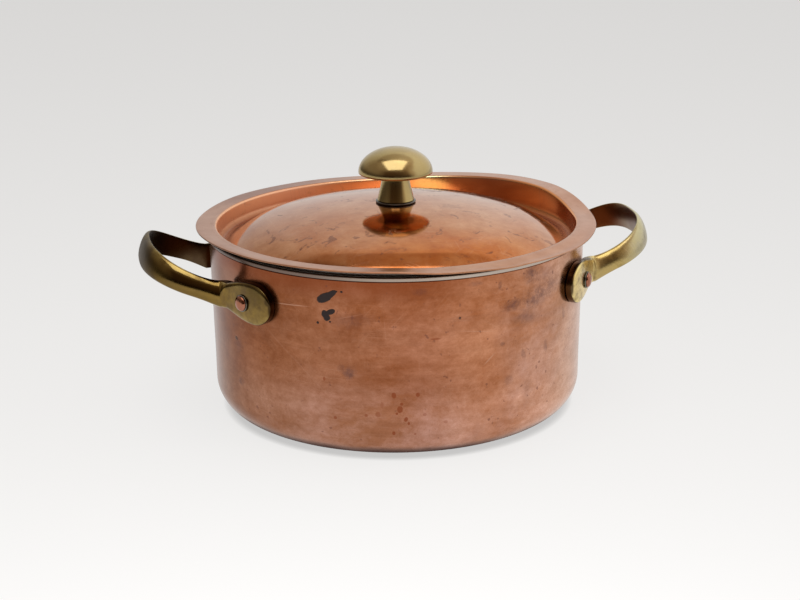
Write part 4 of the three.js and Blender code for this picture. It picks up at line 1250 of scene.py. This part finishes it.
# What stands round the pot, by bearing in degrees from straight behind it, plus to the right
ROOM = (
    (-180, (0.095, 0.057, 0.035)), (-148, (0.10, 0.06, 0.04)), (-135, (0.20, 0.15, 0.11)),
    (-120, (0.28, 0.23, 0.19)), (-70, (0.31, 0.26, 0.22)), (-55, (0.40, 0.36, 0.33)),
    (-40, (0.56, 0.54, 0.52)), (-20, (0.70, 0.70, 0.69)), (0, (0.84, 0.84, 0.83)), (15, (0.95, 0.95, 0.94)),
    (50, (1.0, 1.0, 1.0)), (105, (0.97, 0.95, 0.93)), (125, (0.62, 0.52, 0.45)), (142, (0.20, 0.14, 0.10)),
    (165, (0.11, 0.07, 0.045)), (180, (0.095, 0.057, 0.035)),
)
CEILING = (
    (-180, (0.30, 0.22, 0.16)), (-120, (0.40, 0.33, 0.27)), (-80, (0.42, 0.35, 0.30)),
    (-57, (0.27, 0.22, 0.18)), (-35, (0.52, 0.46, 0.40)), (0, (0.63, 0.56, 0.50)), (30, (0.75, 0.68, 0.62)),
    (60, (0.80, 0.70, 0.62)), (90, (0.68, 0.55, 0.46)), (115, (0.55, 0.44, 0.36)), (140, (0.40, 0.30, 0.22)),
    (180, (0.30, 0.22, 0.16)),
)


def seen(right, away, up):
    """A place given as the camera sees it, to the right, away from it and up, in metres."""
    a = math.radians(VIEW_AZIMUTH)
    return (right * math.cos(a) - away * math.sin(a), right * math.sin(a) + away * math.cos(a), up)


def make_floor():
    """Pale sheet, brighter towards the camera. Most of its light is its own, so shadows stay faint."""
    mesh = bpy.data.meshes.new("floor")
    mesh.from_pydata([(-6, -6, 0), (6, -6, 0), (6, 6, 0), (-6, 6, 0)], [], [(0, 1, 2, 3)])
    floor = placed("floor", mesh)
    material = bpy.data.materials.new("pale_floor")
    material.use_nodes = True
    tree = material.node_tree
    shader = tree.nodes["Principled BSDF"]
    shader.inputs["Base Color"].default_value = (FLOOR_WHITE, FLOOR_WHITE, FLOOR_WHITE, 1)
    shader.inputs["Roughness"].default_value = 0.9
    shader.inputs["Specular IOR Level"].default_value = 0.0
    where = lay(tree, "ShaderNodeTexCoord").outputs["Object"]
    reach = vector_calc(tree, "DISTANCE", where, seen(0, -0.6, 0))
    glow = calc(tree, "ADD", calc(tree, "DIVIDE", 0.13, calc(tree, "MAXIMUM", reach, 0.3)), 0.65)
    path = lay(tree, "ShaderNodeLightPath").outputs
    shown = calc(tree, "ADD", path["Is Camera Ray"], path["Is Glossy Ray"])
    shown = calc(tree, "MINIMUM", calc(tree, "ADD", shown, path["Is Transmission Ray"]), 1.0)
    near_pot = lay(tree, "ShaderNodeAmbientOcclusion", {"Distance": FOOT_SHADE}).outputs["AO"]
    share = ranged(tree, near_pot, 0.35, 1.0, FLOOR_GLOW_AT_FOOT, FLOOR_GLOW, smoothly=False)
    glow = calc(tree, "MULTIPLY", glow, share)
    own = lay(tree, "ShaderNodeEmission", {
        "Color": (1.0, 0.994, 0.985, 1), "Strength": calc(tree, "MULTIPLY", glow, shown)}).outputs[0]
    both = lay(tree, "ShaderNodeAddShader", {0: shader.outputs[0], 1: own}).outputs[0]
    tree.links.new(both, tree.nodes["Material Output"].inputs["Surface"])
    mesh.materials.append(material)


def make_world():
    """What stands round the pot: a pale backdrop behind and at the right, a dim room at the left,
    a dark one in front, and above them a warm ceiling."""
    world = bpy.data.worlds.new("studio")
    bpy.context.scene.world = world
    world.use_nodes = True
    tree = world.node_tree
    shader = tree.nodes["Background"]
    direction = lay(tree, "ShaderNodeTexCoord").outputs["Generated"]

    side, away, up = (vector_calc(tree, "DOT_PRODUCT", direction, axis)
                      for axis in (seen(1, 0, 0), seen(0, 1, 0), (0, 0, 1)))
    bearing = calc(tree, "ARCTAN2", side, away)
    share = ranged(tree, bearing, -math.pi, math.pi, smoothly=False)

    def ring_of(stops):
        ramp = lay(tree, "ShaderNodeValToRGB", {0: share})
        set_stops(ramp, [((degrees + 180) / 360, tint) for degrees, tint in stops])
        return ramp.outputs[0]

    low, high = ring_of(ROOM), ring_of(CEILING)
    lift = calc(tree, "MULTIPLY_ADD", calc(tree, "SUBTRACT", up, 0.26), 0.28, 1.0)
    dim_side = ranged(tree, calc(tree, "ADD", side, away), 0.45, 0.0)
    dim = calc(tree, "MULTIPLY", dim_side, ranged(tree, up, 0.42, 0.04, 0.0, 0.68))
    lift = calc(tree, "MULTIPLY", lift, calc(tree, "SUBTRACT", 1.0, dim))
    low = vector_calc(tree, "SCALE", low, Scale=lift)
    edge_low = ranged(tree, away, -0.3, 0.1, 0.50, 0.775)
    edge_high = ranged(tree, away, -0.3, 0.1, 0.82, 0.815)
    above = ranged(tree, up, edge_low, edge_high)
    # Seen directly, past the floor's far edge, it is a plain pale grey
    seen_directly = lay(tree, "ShaderNodeLightPath").outputs["Is Camera Ray"]
    tree.links.new(blended(tree, seen_directly, blended(tree, above, low, high), (0.66, 0.66, 0.65)),
                   shader.inputs["Color"])
    shader.inputs["Strength"].default_value = 1.05


def softbox(name, place, size, radiance):
    lamp = placed(name, bpy.data.lights.new(name, "AREA"))
    lamp.data.shape = "RECTANGLE"
    lamp.data.size, lamp.data.size_y = size
    lamp.data.energy = radiance * math.pi * size[0] * size[1]
    lamp.location = place
    lamp.rotation_mode = "QUATERNION"
    lamp.rotation_quaternion = Quaternion((0, 0, 1), math.radians(VIEW_AZIMUTH))


make_floor()
make_world()
softbox("overhead_softbox", seen(-0.03, -0.42, 1.3), (1.04, 1.18), 2.05)

bpy.context.scene.view_settings.view_transform = "Standard"
